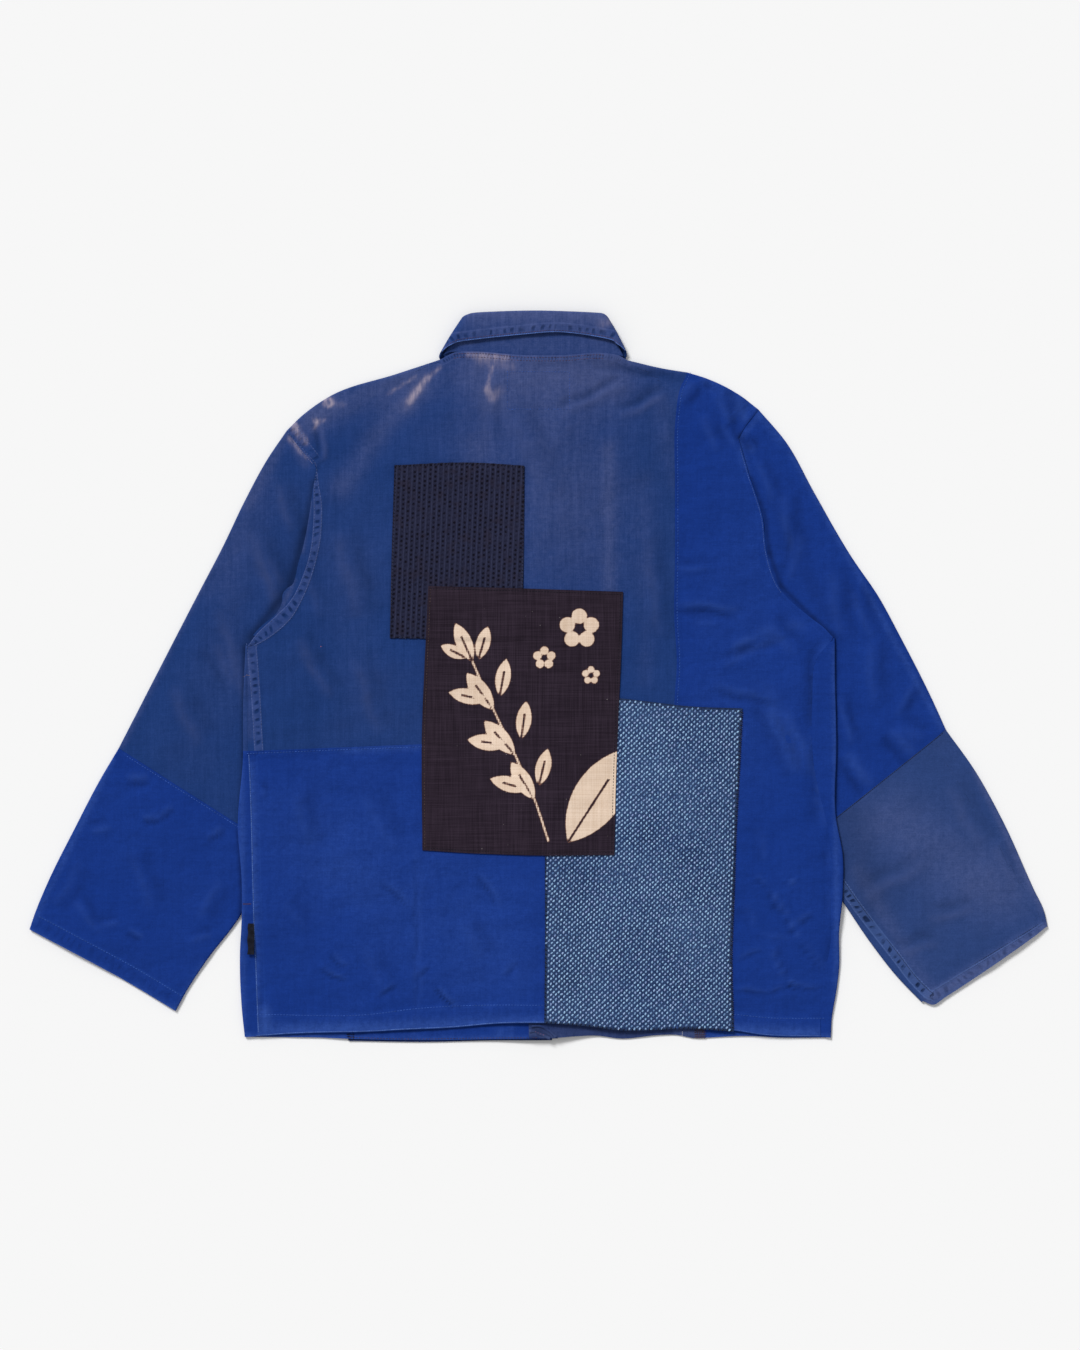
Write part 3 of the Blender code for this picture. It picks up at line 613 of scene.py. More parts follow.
def cotton(name, deep, worn, pale, streaks=1.0, turn=0.0, rumpled=3.0):
    """Cotton in its deep colour, its worn one, and the pale one of bleached places."""
    recipe = Recipe(name)
    rub_and_highlight = (worn[0] * 0.6 + pale[0] * 0.12, worn[1] + 0.03, worn[2] + 0.09)
    cloud = recipe.noise(90, detail=3.0, seed=3.1)
    mottle = recipe.noise(5, detail=3.0, seed=7.7)
    warp = recipe.noise(0.9, 22, turn=turn, detail=1.0) + recipe.noise(4, 90, turn=turn, seed=5.5)
    weft = recipe.noise(18, 0.9, turn=turn, detail=1.0, seed=1.3)
    speck = recipe.noise(1.4, detail=2.0, seed=6.6)
    grain = (warp - 1.0) * (0.38 * streaks) + (weft - 0.5) * 0.25 + (mottle - 0.5) * 0.3 + (speck - 0.5) * 0.55
    fade = recipe.fade * (0.7 + mottle * 0.6) + (cloud - 0.42) * 0.4 + grain * (0.35 + recipe.fade * 0.5)
    broken = 0.3 + recipe.noise(8, seed=8.8) * 1.3
    trough, ridge = recipe.trough * broken, recipe.ridge * broken
    colour = recipe.mix(deep, worn, fade.rise(-0.12, 1.15))
    shade = recipe.mix((0.80,) * 3, (1.2,) * 3, (grain + 0.5).rise(0.0, 1.0))
    colour = recipe.add("ShaderNodeMix", {"data_type": "RGBA", "blend_type": "MULTIPLY"},
                        {0: 1.0, 6: colour, 7: shade}, 2)

    wander = recipe.noise(26, detail=1.0, seed=9.1) * 22
    some = recipe.noise(10, seed=2.6).rise(0.28, 0.62) * 1.1 + 0.1
    hollow = (recipe.along + wander).wave(PUCKER_APART).rise(0.38, 1.0) * some
    band = recipe.across.rise(-0.12, 0.02) * recipe.across.rise(1.12, 0.98)
    middle = recipe.across.rise(0.12, 0.5) * recipe.across.rise(0.93, 0.62)
    rubbed = band * recipe.puckers * (1 - hollow * middle) * (0.4 + mottle)
    pucker = hollow * middle * recipe.puckers
    colour = recipe.mix(colour, rub_and_highlight, rubbed.rise(0.15, 1.0) * 0.32)
    # painted shade: the pucker hollows are darkened below the deep dye, as shade in them
    colour = recipe.mix(colour, times(deep, 0.45), pucker * 0.75)
    # pale rims along the seam lines: rubbed wear, and along the right armhole's edge a painted highlight
    rim = recipe.across.size().rise(0.12, 0.0) * (recipe.puckers * 2).least(0.9)
    rim = (rim + (recipe.across - 1).size().rise(0.11, 0.0) * recipe.puckers) * (0.2 + mottle)
    colour = recipe.mix(colour, rub_and_highlight, rim * 0.6)

    brush = recipe.noise(2.2, 14, detail=2.0, turn=-20, seed=4.2)
    spotted = recipe.bleach * (mottle * 0.5 + brush * 1.7 - 0.1)
    colour = recipe.mix(colour, pale, spotted.rise(0.0, 1.2) * 0.95)
    # painted shade: the troughs of creases are darkened below the deep dye; their ridges are paler, partly rubbed wear
    # and partly painted highlight
    colour = recipe.mix(colour, times(deep, 0.45), trough * 0.6)
    colour = recipe.mix(colour, worn, ridge * 0.5)
    # painted shade: the dark strokes darken the cloth where contact shadows and shade fall beside folds and edges
    colour = recipe.mix(colour, times(deep, 0.3), recipe.dark)
    twill = (recipe.x + recipe.y * 1.15).wave(TWILL_APART)
    rumple = recipe.noise(30, 22, detail=2.0, seed=12.0) * rumpled + ridge * 0.8
    height = twill * 0.16 + grain * 0.7 + mottle * 0.35 + rumple - (trough + pucker) * 1.6
    return recipe.done(colour, height, 0.4)


INDIGO = cotton("faded indigo cotton", (0.0090, 0.037, 0.163), (0.060, 0.083, 0.212), (0.35, 0.30, 0.39))
ROYAL = cotton("royal blue cotton", (0.0050, 0.031, 0.212), (0.024, 0.068, 0.300), (0.13, 0.18, 0.42), streaks=0.5,
               rumpled=6.0)
GREY_BLUE = cotton("grey-blue cotton", (0.020, 0.050, 0.178), (0.072, 0.099, 0.245), (0.24, 0.25, 0.40), streaks=0.4,
                   turn=-38)
NAVY = cotton("faded navy cotton", (0.013, 0.028, 0.110), (0.050, 0.075, 0.19), (0.25, 0.26, 0.40))

# %% [markdown]
# ## The patches' cloths
#
# The small dark patch is a quilting weave with rows of little hollows, each row shifted by half a step. The
# printed one is a plain weave of uneven yarn, nearly black, whose pattern was left undyed with a paste. Its
# motifs are kept on the cloth's points as a distance to their edge, which stays crisp between the points.

# %% Quilting weave, printed linen, dotted indigo, threads, tape, plastic
ROW_APART, HOLE_APART, ROW_LEAN = 5.36, 4.75, 0.045


def quilting_weave():
    recipe = Recipe("quilting weave", specular=0.1)
    row = (recipe.x - recipe.y * ROW_LEAN) / ROW_APART
    step = recipe.y / HOLE_APART + (row / 2).part().rise(0.499, 0.501) * 0.5
    across, up = (row.part() - 0.5) * ROW_APART, (step.part() - 0.5) * HOLE_APART
    away = recipe.add("ShaderNodeVectorMath", {"operation": "LENGTH"},
                      {0: recipe.add("ShaderNodeCombineXYZ", values={0: across * 1.15, 1: up})}, "Value")
    uneven = recipe.noise(6, detail=2.0, seed=4.4)
    hole = away.rise(1.75, 0.75) * (0.25 + uneven.rise(0.35, 0.6) * 0.75)
    ridge = across.size().rise(1.6, 2.6)
    thread = recipe.noise(0.7, 2.2, detail=2.0, seed=2.0)
    ground = recipe.mix((0.0125, 0.0135, 0.034), (0.030, 0.034, 0.074), (ridge * 0.4 + thread * 0.75).rise(0.1, 1.0))
    ground = recipe.mix(ground, (0.020, 0.016, 0.030), recipe.noise(11, seed=8.0).rise(0.5, 0.72) * 0.5)
    colour = recipe.mix(ground, (0.0060, 0.0050, 0.0130), hole.rise(0.1, 0.9))
    return recipe.done(colour, ridge * 0.5 + thread * 0.6 - hole * 1.2, 0.5)


def printed_linen():
    recipe = Recipe("printed linen", specular=0.1)
    warp, weft = recipe.noise(0.8, 40, detail=1.0), recipe.noise(40, 0.8, detail=1.0, seed=3.0)
    slub = recipe.noise(2.0, 60, seed=6.0) + recipe.noise(60, 2.0, seed=8.0)
    weave = (recipe.x.wave(1.3) - 0.5) * (recipe.y.wave(1.3) - 0.5) * 4
    yarn = (warp + weft) * 0.32 + slub * 0.18 + weave * 0.05
    dark = recipe.mix((0.0150, 0.0095, 0.0165), (0.036, 0.024, 0.039), yarn.rise(0.36, 0.66))
    dark = recipe.mix(dark, (0.30, 0.27, 0.27), recipe.noise(3.0, detail=0.0, seed=31.0).rise(0.87, 0.90) * 0.6)
    aged = yarn + (recipe.noise(30, seed=2.0) - 0.5) * 0.3
    cream = recipe.mix((0.70, 0.52, 0.385), (0.90, 0.72, 0.58), aged.rise(0.3, 0.7))
    edge = recipe.add("ShaderNodeAttribute", {"attribute_name": "print"}, output="Fac")
    frayed = edge + (warp + weft - 1.0) * 0.9
    colour = recipe.mix(dark, (0.16, 0.075, 0.055), frayed.rise(-0.5, 0.1))
    colour = recipe.mix(colour, cream, frayed.rise(0.0, 0.75))
    return recipe.done(colour, yarn * 1.2 + weave * 0.3, 0.3)


def dotted_indigo():
    recipe = Recipe("dotted indigo ground", specular=0.12)
    cloud, yarn = recipe.noise(70, seed=5.0), recipe.noise(1.3, detail=2.0)
    colour = recipe.mix((0.0095, 0.023, 0.082), (0.040, 0.078, 0.185), (yarn * 0.8 + cloud * 0.4).rise(0.35, 0.85))
    colour = recipe.mix(colour, (0.004, 0.005, 0.014), (recipe.across - 0.1).size().rise(0.4, 0.1) * 0.4)
    return recipe.done(colour, yarn, 0.5)


def float_thread():
    recipe = Recipe("light blue floats", specular=0.15)
    cloud = recipe.noise(60, seed=5.0)
    each, fine = recipe.noise(3.2, detail=1.0, seed=1.0), recipe.noise(0.8, seed=2.0)
    band = recipe.noise(120, 26, detail=1.0, seed=3.0)
    share = each.rise(0.3, 0.7) * 0.6 + 0.25 + cloud * 0.3 + band * 0.5 + (fine - 0.5) * 0.3
    colour = recipe.mix((0.085, 0.165, 0.345), (0.33, 0.53, 0.76), share.rise(0.45, 1.38))
    colour = recipe.mix(colour, (0.32, 0.38, 0.66), recipe.noise(4.5, detail=1.0, seed=9.0).rise(0.5, 0.66) * 0.5)
    return recipe.done(colour, fine, 0.2)


def plain(name, colour, roughness=0.9, specular=0.15, change=0.0):
    recipe = Recipe(name, roughness, specular)
    if not change:
        return recipe.done(colour)
    low, high = times(colour, 1 - change), times(colour, 1 + change)
    return recipe.done(recipe.mix(low, high, recipe.noise(5, detail=3.0).rise(0.3, 0.7)))


SASHIKO, LINEN, DOTTED, FLOATS = quilting_weave(), printed_linen(), dotted_indigo(), float_thread()
PALE_THREAD = plain("faded thread", (0.080, 0.125, 0.310), change=0.35)
BLUE_THREAD = plain("blue thread", (0.040, 0.105, 0.400), change=0.35)
DARK_THREAD = plain("black thread", (0.010, 0.010, 0.017), change=0.3)
BROWN_THREAD = plain("brown thread", (0.075, 0.043, 0.050), change=0.4)
RUST_THREAD = plain("rust thread", (0.105, 0.060, 0.100), change=0.5)
# pale blue edge threads: rubbed wear along the hems, and a painted highlight where a rounded edge catches the light,
# as along the right armhole and the collar's free edge
RUBBED_EDGE_AND_HIGHLIGHT = plain("rubbed blue edge and painted highlight", (0.085, 0.160, 0.440), change=0.35)
SAND_THREAD = plain("sand thread", (0.27, 0.19, 0.16), change=0.4)
PINK_THREAD = plain("pink thread", (0.40, 0.15, 0.23), change=0.3)
WHITE_THREAD = plain("white thread", (0.62, 0.62, 0.70), change=0.2)
TAN_THREAD = plain("tan thread", (0.085, 0.055, 0.050), change=0.5)
FUZZ = plain("grey-blue fuzz", (0.085, 0.10, 0.23), change=0.5)
RUBBED_INDIGO = plain("rubbed indigo edge", (0.13, 0.14, 0.27), change=0.4)
TAPE = plain("woven tape", (0.008, 0.009, 0.016), change=0.4)
BUTTON = plain("dark plastic", (0.012, 0.014, 0.030), 0.4, 0.4)
print("materials:", len(bpy.data.materials))

# %% [markdown]
# ## The list of cloths
#
# A cutting list names every cloth: what it is made of and how large its flat cut is. Sewing looks up the
# material here.

# %% Cutting list
CUTS = {  # slot, material, width, length and flat area of each cut in metres, and what it lies on
    "back_upper": ("faded_indigo", INDIGO, 0.455, 0.405, 0.163, ["front_left", "front_right_centre"]),
    "back_lower_left": ("royal_cotton", ROYAL, 0.440, 0.305, 0.129, ["front_left", "front_right_centre"]),
    "back_right": ("royal_cotton", ROYAL, 0.165, 0.685, 0.089, ["front_right_side", "front_right_centre"]),
    "patch_sashiko": ("sashiko_navy", SASHIKO, 0.139, 0.181, 0.0248, ["back_upper"]),
    "patch_indigo": ("indigo_dots", DOTTED, 0.204, 0.350, 0.0668, ["back_right", "back_lower_left", "back_upper"]),
    "patch_print": ("print_linen", LINEN, 0.207, 0.277, 0.0545,
                    ["patch_sashiko", "patch_indigo", "back_upper", "back_lower_left"]),
    "front_left": ("royal_cotton", ROYAL, 0.345, 0.695, 0.203, ["floor"]),
    "front_right_centre": ("hidden_navy", NAVY, 0.187, 0.690, 0.118, ["floor"]),
    "front_right_side": ("royal_cotton", ROYAL, 0.165, 0.680, 0.082, ["floor"]),
    "front_patch": ("hidden_navy", NAVY, 0.210, 0.195, 0.0407, ["floor"]),
    "sleeve_left_upper": ("faded_indigo", INDIGO, 0.560, 0.370, 0.078, ["floor"]),
    "sleeve_left_lower": ("royal_cotton", ROYAL, 0.360, 0.215, 0.073, ["floor"]),
    "sleeve_right_upper": ("royal_cotton", ROYAL, 0.560, 0.370, 0.074, ["floor"]),
    "sleeve_right_lower": ("sleeve_faded", GREY_BLUE, 0.360, 0.220, 0.077, ["floor"]),
    "sleeve_left_tuck": ("faded_indigo", INDIGO, 0.020, 0.185, 0.0026, ["sleeve_left_upper"]),
    "collar_stand": ("faded_indigo", INDIGO, 0.420, 0.045, 0.0165, ["back_upper"]),
    "collar_leaf": ("faded_indigo", INDIGO, 0.450, 0.070, 0.0225, ["collar_stand"]),
    "side_loop": ("label_dark", TAPE, 0.015, 0.032, 0.00047, ["front_left"]),
}
print("cloths:", len(CUTS), "with", round(sum(row[4] for row in CUTS.values()), 2), "square metres of cloth")

# %% [markdown]
# ## Stitches and raised threads
#
# Hundreds of stitches repeat one small shape, so Geometry Nodes lays them. One tree walks along lines and
# sets a stitch at every step. The other one sets a short thread on every point it is given, pointing the way
# that the point says. Both end in real meshes, and both are ready to be used again with other lengths.


# %% Two trees for threads
def thread_tree(name, along_lines):
    """A tree that lays small oval threads, on points or along lines."""
    tree = bpy.data.node_groups.new(name, "GeometryNodeTree")
    tree.interface.new_socket("Geometry", in_out="INPUT", socket_type="NodeSocketGeometry")
    for label in ("Pitch", "Length", "Width", "Height", "Turn", "Wander"):
        tree.interface.new_socket(label, in_out="INPUT", socket_type="NodeSocketFloat")
    tree.interface.new_socket("Seed", in_out="INPUT", socket_type="NodeSocketInt")
    tree.interface.new_socket("Thread", in_out="INPUT", socket_type="NodeSocketMaterial")
    tree.interface.new_socket("Geometry", in_out="OUTPUT", socket_type="NodeSocketGeometry")
    nodes = Nodes(tree)
    sockets = nodes.add("NodeGroupInput").socket.node.outputs
    given = {socket.name: Value(nodes, socket) for socket in sockets if socket.name}
    if along_lines:
        curve = nodes.add("GeometryNodeMeshToCurve", values={"Mesh": given["Geometry"]})
        points = nodes.add("GeometryNodeCurveToPoints", {"mode": "LENGTH"}, {"Curve": curve, "Length": given["Pitch"]})
        way = Value(nodes, points.socket.node.outputs["Tangent"])
    else:
        points = nodes.add("GeometryNodeMeshToPoints", values={"Mesh": given["Geometry"]})
        way = nodes.add("GeometryNodeInputNamedAttribute", {"data_type": "FLOAT_VECTOR"}, {"Name": "way"})
    way = nodes.add("ShaderNodeVectorRotate", {"rotation_type": "Z_AXIS"}, {"Vector": way, "Angle": given["Turn"]})
    loose = nodes.add("FunctionNodeRandomValue", {"data_type": "FLOAT_VECTOR"},
                      {0: (-1, -1, -0.2), 1: (1, 1, 0.2), "Seed": given["Seed"]})
    loose = nodes.add("ShaderNodeVectorMath", {"operation": "SCALE"}, {0: loose, "Scale": given["Wander"]})
    way = nodes.add("ShaderNodeVectorMath", {"operation": "ADD"}, {0: way, 1: loose})
    turn = nodes.add("FunctionNodeAlignRotationToVector", {"axis": "X"}, {"Vector": way})
    uneven = nodes.add("FunctionNodeRandomValue", {"data_type": "FLOAT"},
                       {2: 0.84, 3: 1.14, "Seed": given["Seed"] + 7}, 1)
    size = nodes.add("ShaderNodeCombineXYZ", values={
        0: given["Length"] * 0.5 * uneven, 1: given["Width"] * 0.5, 2: given["Height"] * 0.5})
    oval = nodes.add("GeometryNodeMeshIcoSphere", values={"Radius": 1.0, "Subdivisions": 1})
    laid = nodes.add("GeometryNodeInstanceOnPoints", values={
        "Points": points, "Instance": oval, "Rotation": turn, "Scale": size})
    real = nodes.add("GeometryNodeRealizeInstances", values={"Geometry": laid})
    dyed = nodes.add("GeometryNodeSetMaterial", values={"Geometry": real, "Material": given["Thread"]})
    tree.links.new(dyed.socket, tree.nodes.new("NodeGroupOutput").inputs["Geometry"])
    return tree


STITCH_TREE, GRAIN_TREE = thread_tree("Stitches along lines", True), thread_tree("Threads on points", False)
THREAD_ABOVE, THREAD_HEIGHT = 0.12, 0.55  # middle of a stitch above the cloth's face, and its thickness
PALE_EDGE_STITCHES = {"pitch": 2.3, "length": 2.8, "wander": 0.05}  # threads so close that they make one pale edge


def threads(owner, kind, data, tree, finish, seed, **sizes):
    """Lays threads on a mesh of points or lines and keeps them as one piece of the cloth named owner."""
    piece = put(f"{owner}_{kind}", data)
    layer = piece.modifiers.new("Threads", "NODES")
    layer.node_group = tree
    names = {item.name: item.identifier for item in tree.interface.items_tree if item.in_out == "INPUT"}
    for label, value in sizes.items():
        layer[names[label]] = value
    layer[names["Seed"]], layer[names["Thread"]] = seed, finish
    TRIM.setdefault(owner, []).append(piece)
    return keep(piece, [], CUTS[owner][0], finish)


def stitch(owner, kind, rows, top, finish, pitch=3.1, length=2.5, width=0.65, turn=0.0, wander=0.12):
    """Rows of stitches on the face of a cloth. Each row is a line of points, and top gives their height."""
    points, edges = [], []
    for row in rows:
        row = np.asarray(row, float)
        raised = row if row.shape[1] == 3 else np.c_[row, top(row) + THREAD_ABOVE]
        edges += [(k, k + 1) for k in range(len(points), len(points) + len(raised) - 1)]
        points += (raised * MM).tolist()
    data = bpy.data.meshes.new(kind)
    data.from_pydata(points, edges, [])
    return threads(owner, kind, data, STITCH_TREE, finish, len(points), Pitch=pitch * MM, Length=length * MM,
                   Width=width * MM, Height=THREAD_HEIGHT * MM, Turn=math.radians(turn), Wander=wander)


def moved(line, off):
    """A line of points shifted to its right."""
    return line[:, :2] + outward(line, 1) * off


print("trees:", STITCH_TREE.name, "and", GRAIN_TREE.name)

# %% [markdown]
# ## Creases of the body
#
# The same waves and creases run through every layer of the back, as they do when a folded jacket is opened:
# a patch bulges where the panel below it does. So one table serves all three panels and the patches.

# %% The back's surface
BODY_CREASES = [
    (22, 270, 92, 303, 6, 0.8), (84, 268, 131, 290, 6, 0.8), (56, 322, 150, 307, 7, -0.8),
    (-170, 298, -120, 318, 8, 0.4), (-60, 300, -52, 240, 10, 0.4), (-40, 290, 10, 180, 14, 0.4),
    (-210, 150, -185, 60, 12, 0.5), (-250, 40, -215, -20, 9, 0.5), (-190, 20, -165, -60, 10, 0.4),
    (110, 150, 124, 40, 9, 0.4), (-245, 120, -225, 60, 7, 0.3), (-229, 259, -227.5, 224, 4, -0.8),
    (153, 279, 168, 298, 8, -0.9), (168, 298, 182, 300, 7, -0.6), (182, 292, 200, 262, 8, 0.7),
    (196, 284, 207, 256, 7, -0.9), (210, 262, 218, 288, 6, -0.6), (191, 262, 202, 236, 6, 0.5),
    (204, 240, 220, 205, 7, 0.6), (170, 270, 182, 232, 8, 0.5), (142, 113, 176, 111, 5, 0.5),
    (142, 69, 208, 63, 5, -0.8), (160, 58, 184, 53, 4, 0.4), (200, 22, 226, 30, 7, -1.0), (226, 30, 252, 42, 8, -0.7),
    (252, 44, 276, 38, 8, -0.5), (190, 14, 210, 18, 6, 0.4), (180, -15, 226, -26, 5, -0.6),
    (209, -24, 246, -29, 4, -0.6), (243, -36, 273, -102, 7, -0.8), (287.2, -41, 281.4, -134.4, 3, -0.9),
    (283, -102, 285, -155, 7, -0.5), (281.4, 2.5, 284, -30, 4, -0.6), (292, 2, 294, -116, 5, 0.5),
    (302, -20, 300, -116, 5, -0.5), (236, 60, 262, 20, 9, 0.5), (219.6, -157.7, 230, -190.4, 4, -0.4),
    (219.6, -206.7, 233.6, -218.4, 3, -0.5), (233.6, -218.4, 254.6, -248.7, 3, -0.9),
    (254.6, -248.7, 263.9, -272, 3, -0.8), (268.6, -258, 283.7, -244, 3, -0.8), (256.9, -209, 258.5, -217, 3, -1.0),
    (240.6, -276.7, 254.6, -311.7, 3.5, 0.6), (263.9, -272, 296.6, -304.7, 3.5, -0.4),
    (206.7, -293, 233.6, -283.7, 3, -0.5), (200.9, -325.7, 236, -326.9, 3, -0.7), (236, -326.9, 252, -322, 3, -0.5),
    (254.6, -318.7, 265, -323.4, 3.5, -1.1), (265, -321, 288, -322.2, 3, -0.5), (226, -262, 262, -271, 4, 0.4),
    (211, -235, 216, -262, 4, -0.3), (306, -213, 301, -310, 5, -0.6), (298, -150, 297, -250, 4, -0.5),
    (-214.7, -285.4, -198, -301, 3, -0.7), (-223, -301, -200, -316.6, 3, -0.7),
    (-106.4, -322.9, -84.5, -341.6, 3, -1.0), (-64.7, -204.1, -41.8, -239.6, 3.5, -0.7),
    (-164.7, -211.4, -133.4, -239.6, 3, -0.6), (-126.2, -185.4, -126.2, -356.2, 3, -0.4),
    (-127, -311, -110.5, -298, 3, -0.5), (-164.7, -331.2, -146, -318.7, 3, -0.5),
    (-35.5, -308.3, -18.9, -291.6, 3, -0.5), (-289, -117, -280, -122, 4, 0.5), (-80, -250, -60, -290, 9, 0.4),
    (-250, -120, -236, -180, 9, 0.4), (-262, -230, -240, -262, 7, 0.3), (-180, -120, -150, -180, 10, 0.4),
    (282, 40, 281, -60, 9, -0.9), (281, -60, 286, -150, 8, -0.6), (300, 0, 304, -150, 8, 0.5),
    (215, -10, 262, -110, 11, -0.5), (-281, -366, -279, -330, 4, 0.4), (-180, -270, -160, -330, 9, 0.3),
]


CREASE_SHARE = 1.3  # all creases are raised by this, on the body and on the sleeves


def relief(points, seeds, size, table):
    """Long and short waves and the creases of a table."""
    wavy = waves(points, seeds[0], size, 0.6) + waves(points, seeds[1], 34, 0.25)
    return wavy + CREASE_SHARE * creased(points, table)


def back_top(points):
    return BACK_FORM(points) + relief(points, (11, 5), 85, BODY_CREASES)


def ridge_at(points, line, height=0.7, width=6):
    """A low ridge along a line, where cloth lies double."""
    return height * bell(beside(points, line)[1], width)


def hem_at(points, row):
    """The step up to the double cloth of a hem, below its row of stitches."""
    return 0.55 * ease(-1, 1.5, beside(points, row)[1])


def rise_at(points, line, row, height):
    """A soft ridge between a line and its row of stitches, with a pucker every 8 mm."""
    along, share = felled(points, line, row)
    pucker = 1 - 0.35 * np.sin(along * math.tau / 8.1 + np.sin(along / 19)) ** 2
    return height * ease(-0.15, 0.15, share) * ease(1.15, 0.85, share) * pucker


def end_at(line, point, over=6):
    """A line of points whose last few slide over, so that it ends at a point."""
    share = np.zeros(len(line))
    share[-over:] = np.linspace(0, 1, over + 1)[1:]
    return line + share[:, None] * (np.asarray(point) - line[-1])


def pinned(line, start, end):
    """A line of points that slides over at both ends, to start and end at two given points."""
    return end_at(end_at(line, end)[::-1], start)[::-1]


print("creases by hand:", len(BODY_CREASES))

# %% [markdown]
# ## Three panels make the back
#
# The faded upper panel ends at the cross seam on the left and at a long seam on the right, and both royal
# panels lap over it there. It folds over the shoulders, so its grid goes on round the fold and a little way
# underneath. Felled seams and hems are double cloth, which shows as a low ridge.

# %% Upper back panel
ARMHOLE_LINE, SHOULDER_LINE = joined(LEFT_ARMHOLE), through([(-229, 218), (-245, 236), (-262, 254)], 20)
ARMHOLE_ROW = through([
    (-292, 33), (-280, 39.6), (-267.8, 48.5), (-254.4, 61.9), (-244.3, 79.8), (-236.5, 97.7), (-229.8, 120),
    (-225.8, 138), (-223.8, 160), (-224.2, 182.5), (-226.4, 195), (-228.6, 210), (-228.8, 217),
], 90)
SHOULDER_ROW = through([(-228.2, 230.5), (-240, 246), (-251, 261), (-254, 264)], 20)
SIDE_LINE = through([(-292, -76), (-295.5, -20), (-299.5, 24), (-300.5, 34)], 40)
SIDE_ROW = through([(-284, -76), (-287, -20), (-290, 22), (-291, 33)], 40)
NECK_LINE = through(NECK, 90)
INDIGO_SEAMS = [
    (ARMHOLE_LINE, ARMHOLE_ROW, 0.85), (SHOULDER_LINE, SHOULDER_ROW, 0.45, 1.2), (SIDE_LINE, SIDE_ROW, 0.8),
    (NECK_LINE, 6.5, 0.6, 2.6),
]
CROSS_LINE = through(CROSS_SEAM, 120)
BACK_LINE = joined(BACK_SEAM_LOW, BACK_SEAM_HIGH)
FOLD_RADIUS = 2.8  # of the shoulders


def upper_top(points):
    bands = [rise_at(points, line, row, 0.9) for line, row, *_ in INDIGO_SEAMS]
    return back_top(points) + np.max(bands, axis=0)


def with_shoulder(low, left, right, tops, top, under):
    """A panel with its shoulder folds: its main grid, then each fold and a strip beneath it."""
    lines = [through(line, count_for(line)) for line, _ in tops]
    outs = [outward(line, -1) for line in lines]
    radii = [FOLD_RADIUS * np.ones(len(line)) * folded for line, (_, folded) in zip(lines, tops)]
    for k, (_, folded) in enumerate(tops):
        fade_in = np.linspace(0, 1, min(12, len(radii[k])))
        if folded and k > 0 and not tops[k - 1][1]:
            radii[k][: len(fade_in)] *= fade_in
        if folded and k + 1 < len(tops) and not tops[k + 1][1]:
            radii[k][-len(fade_in):] *= fade_in[::-1]
    inner = [line - out * radius[:, None] for line, out, radius in zip(lines, outs, radii)]
    high = np.concatenate([inner[0]] + [line[1:] for line in inner[1:]])
    low = through(low, len(high))
    left, right = (end_at(side, high[end]) for side, end in ((left, 0), (right, -1)))
    rows = max(len(left), len(right))
    main = lift(between(low, high, through(left, rows), through(right, rows)), top)
    blocks = [main]
    start = 0
    for line, out, radius, edge, (_, folded) in zip(lines, outs, radii, inner, tops):
        if folded:
            upper = main[-1, start: start + len(line), 2]
            lower = np.clip(under(line) - 0.4, 0.1, upper - 2 * CLOTH)
            fold = bend(line, out, upper, lower, radius[:, None], steps=9)
            fold[0] = main[-1, start: start + len(line)]
            strip = [np.c_[edge - out * way, lower] for way in (0, 3, 6)]
            blocks.append(np.concatenate([fold[:-1], strip]))
        start += len(line) - 1
    return blocks


FRONT_UNDER = Form("front_left", "front_right_centre", "front_right_side", upper=False)
left_line = joined(LEFT_SIDE_HIGH, LEFT_ARMHOLE, LEFT_ARMHOLE_TOP)
right_line = through(BACK_SEAM_HIGH, len(left_line))
blocks = with_shoulder(
    CROSS_SEAM, left_line, right_line,
    ((LEFT_SHOULDER, True), (NECK, False), (RIGHT_SHOULDER_NEAR, True)), upper_top, FRONT_UNDER,
)
INDIGO_FADE = [
    (-60, 318, 70, 316, 34, 0.6), (0, 260, 20, 170, 95, 0.4), (-235, 272, -120, 312, 20, 0.5),
    (-150, 272, -203, 196, 13, 0.4), (72, 236, 73, 14, 8, 0.4), (108, 200, 110, 0, 12, 0.15),
    (-75, 60, -75, 20, 30, 0.1), (125, 292, 145, 200, 14, 0.2), (-200, 120, -180, 0, 40, 0.12),
    (-46, 285, -46, 285, 12, 0.6), (-123, 296, -135, 281, 11, 0.6), (-215, 285, -231, 262, 13, 0.5),
    (-60, 240, -58, 224, 20, 0.3), (-298, -60, -300, 20, 7, 0.3),
]


def on_loop(turn):
    """A place on the small bleached loop near the left shoulder."""
    return -216.5 + 4.6 * math.cos(turn), 283.5 + 4.0 * math.sin(turn)


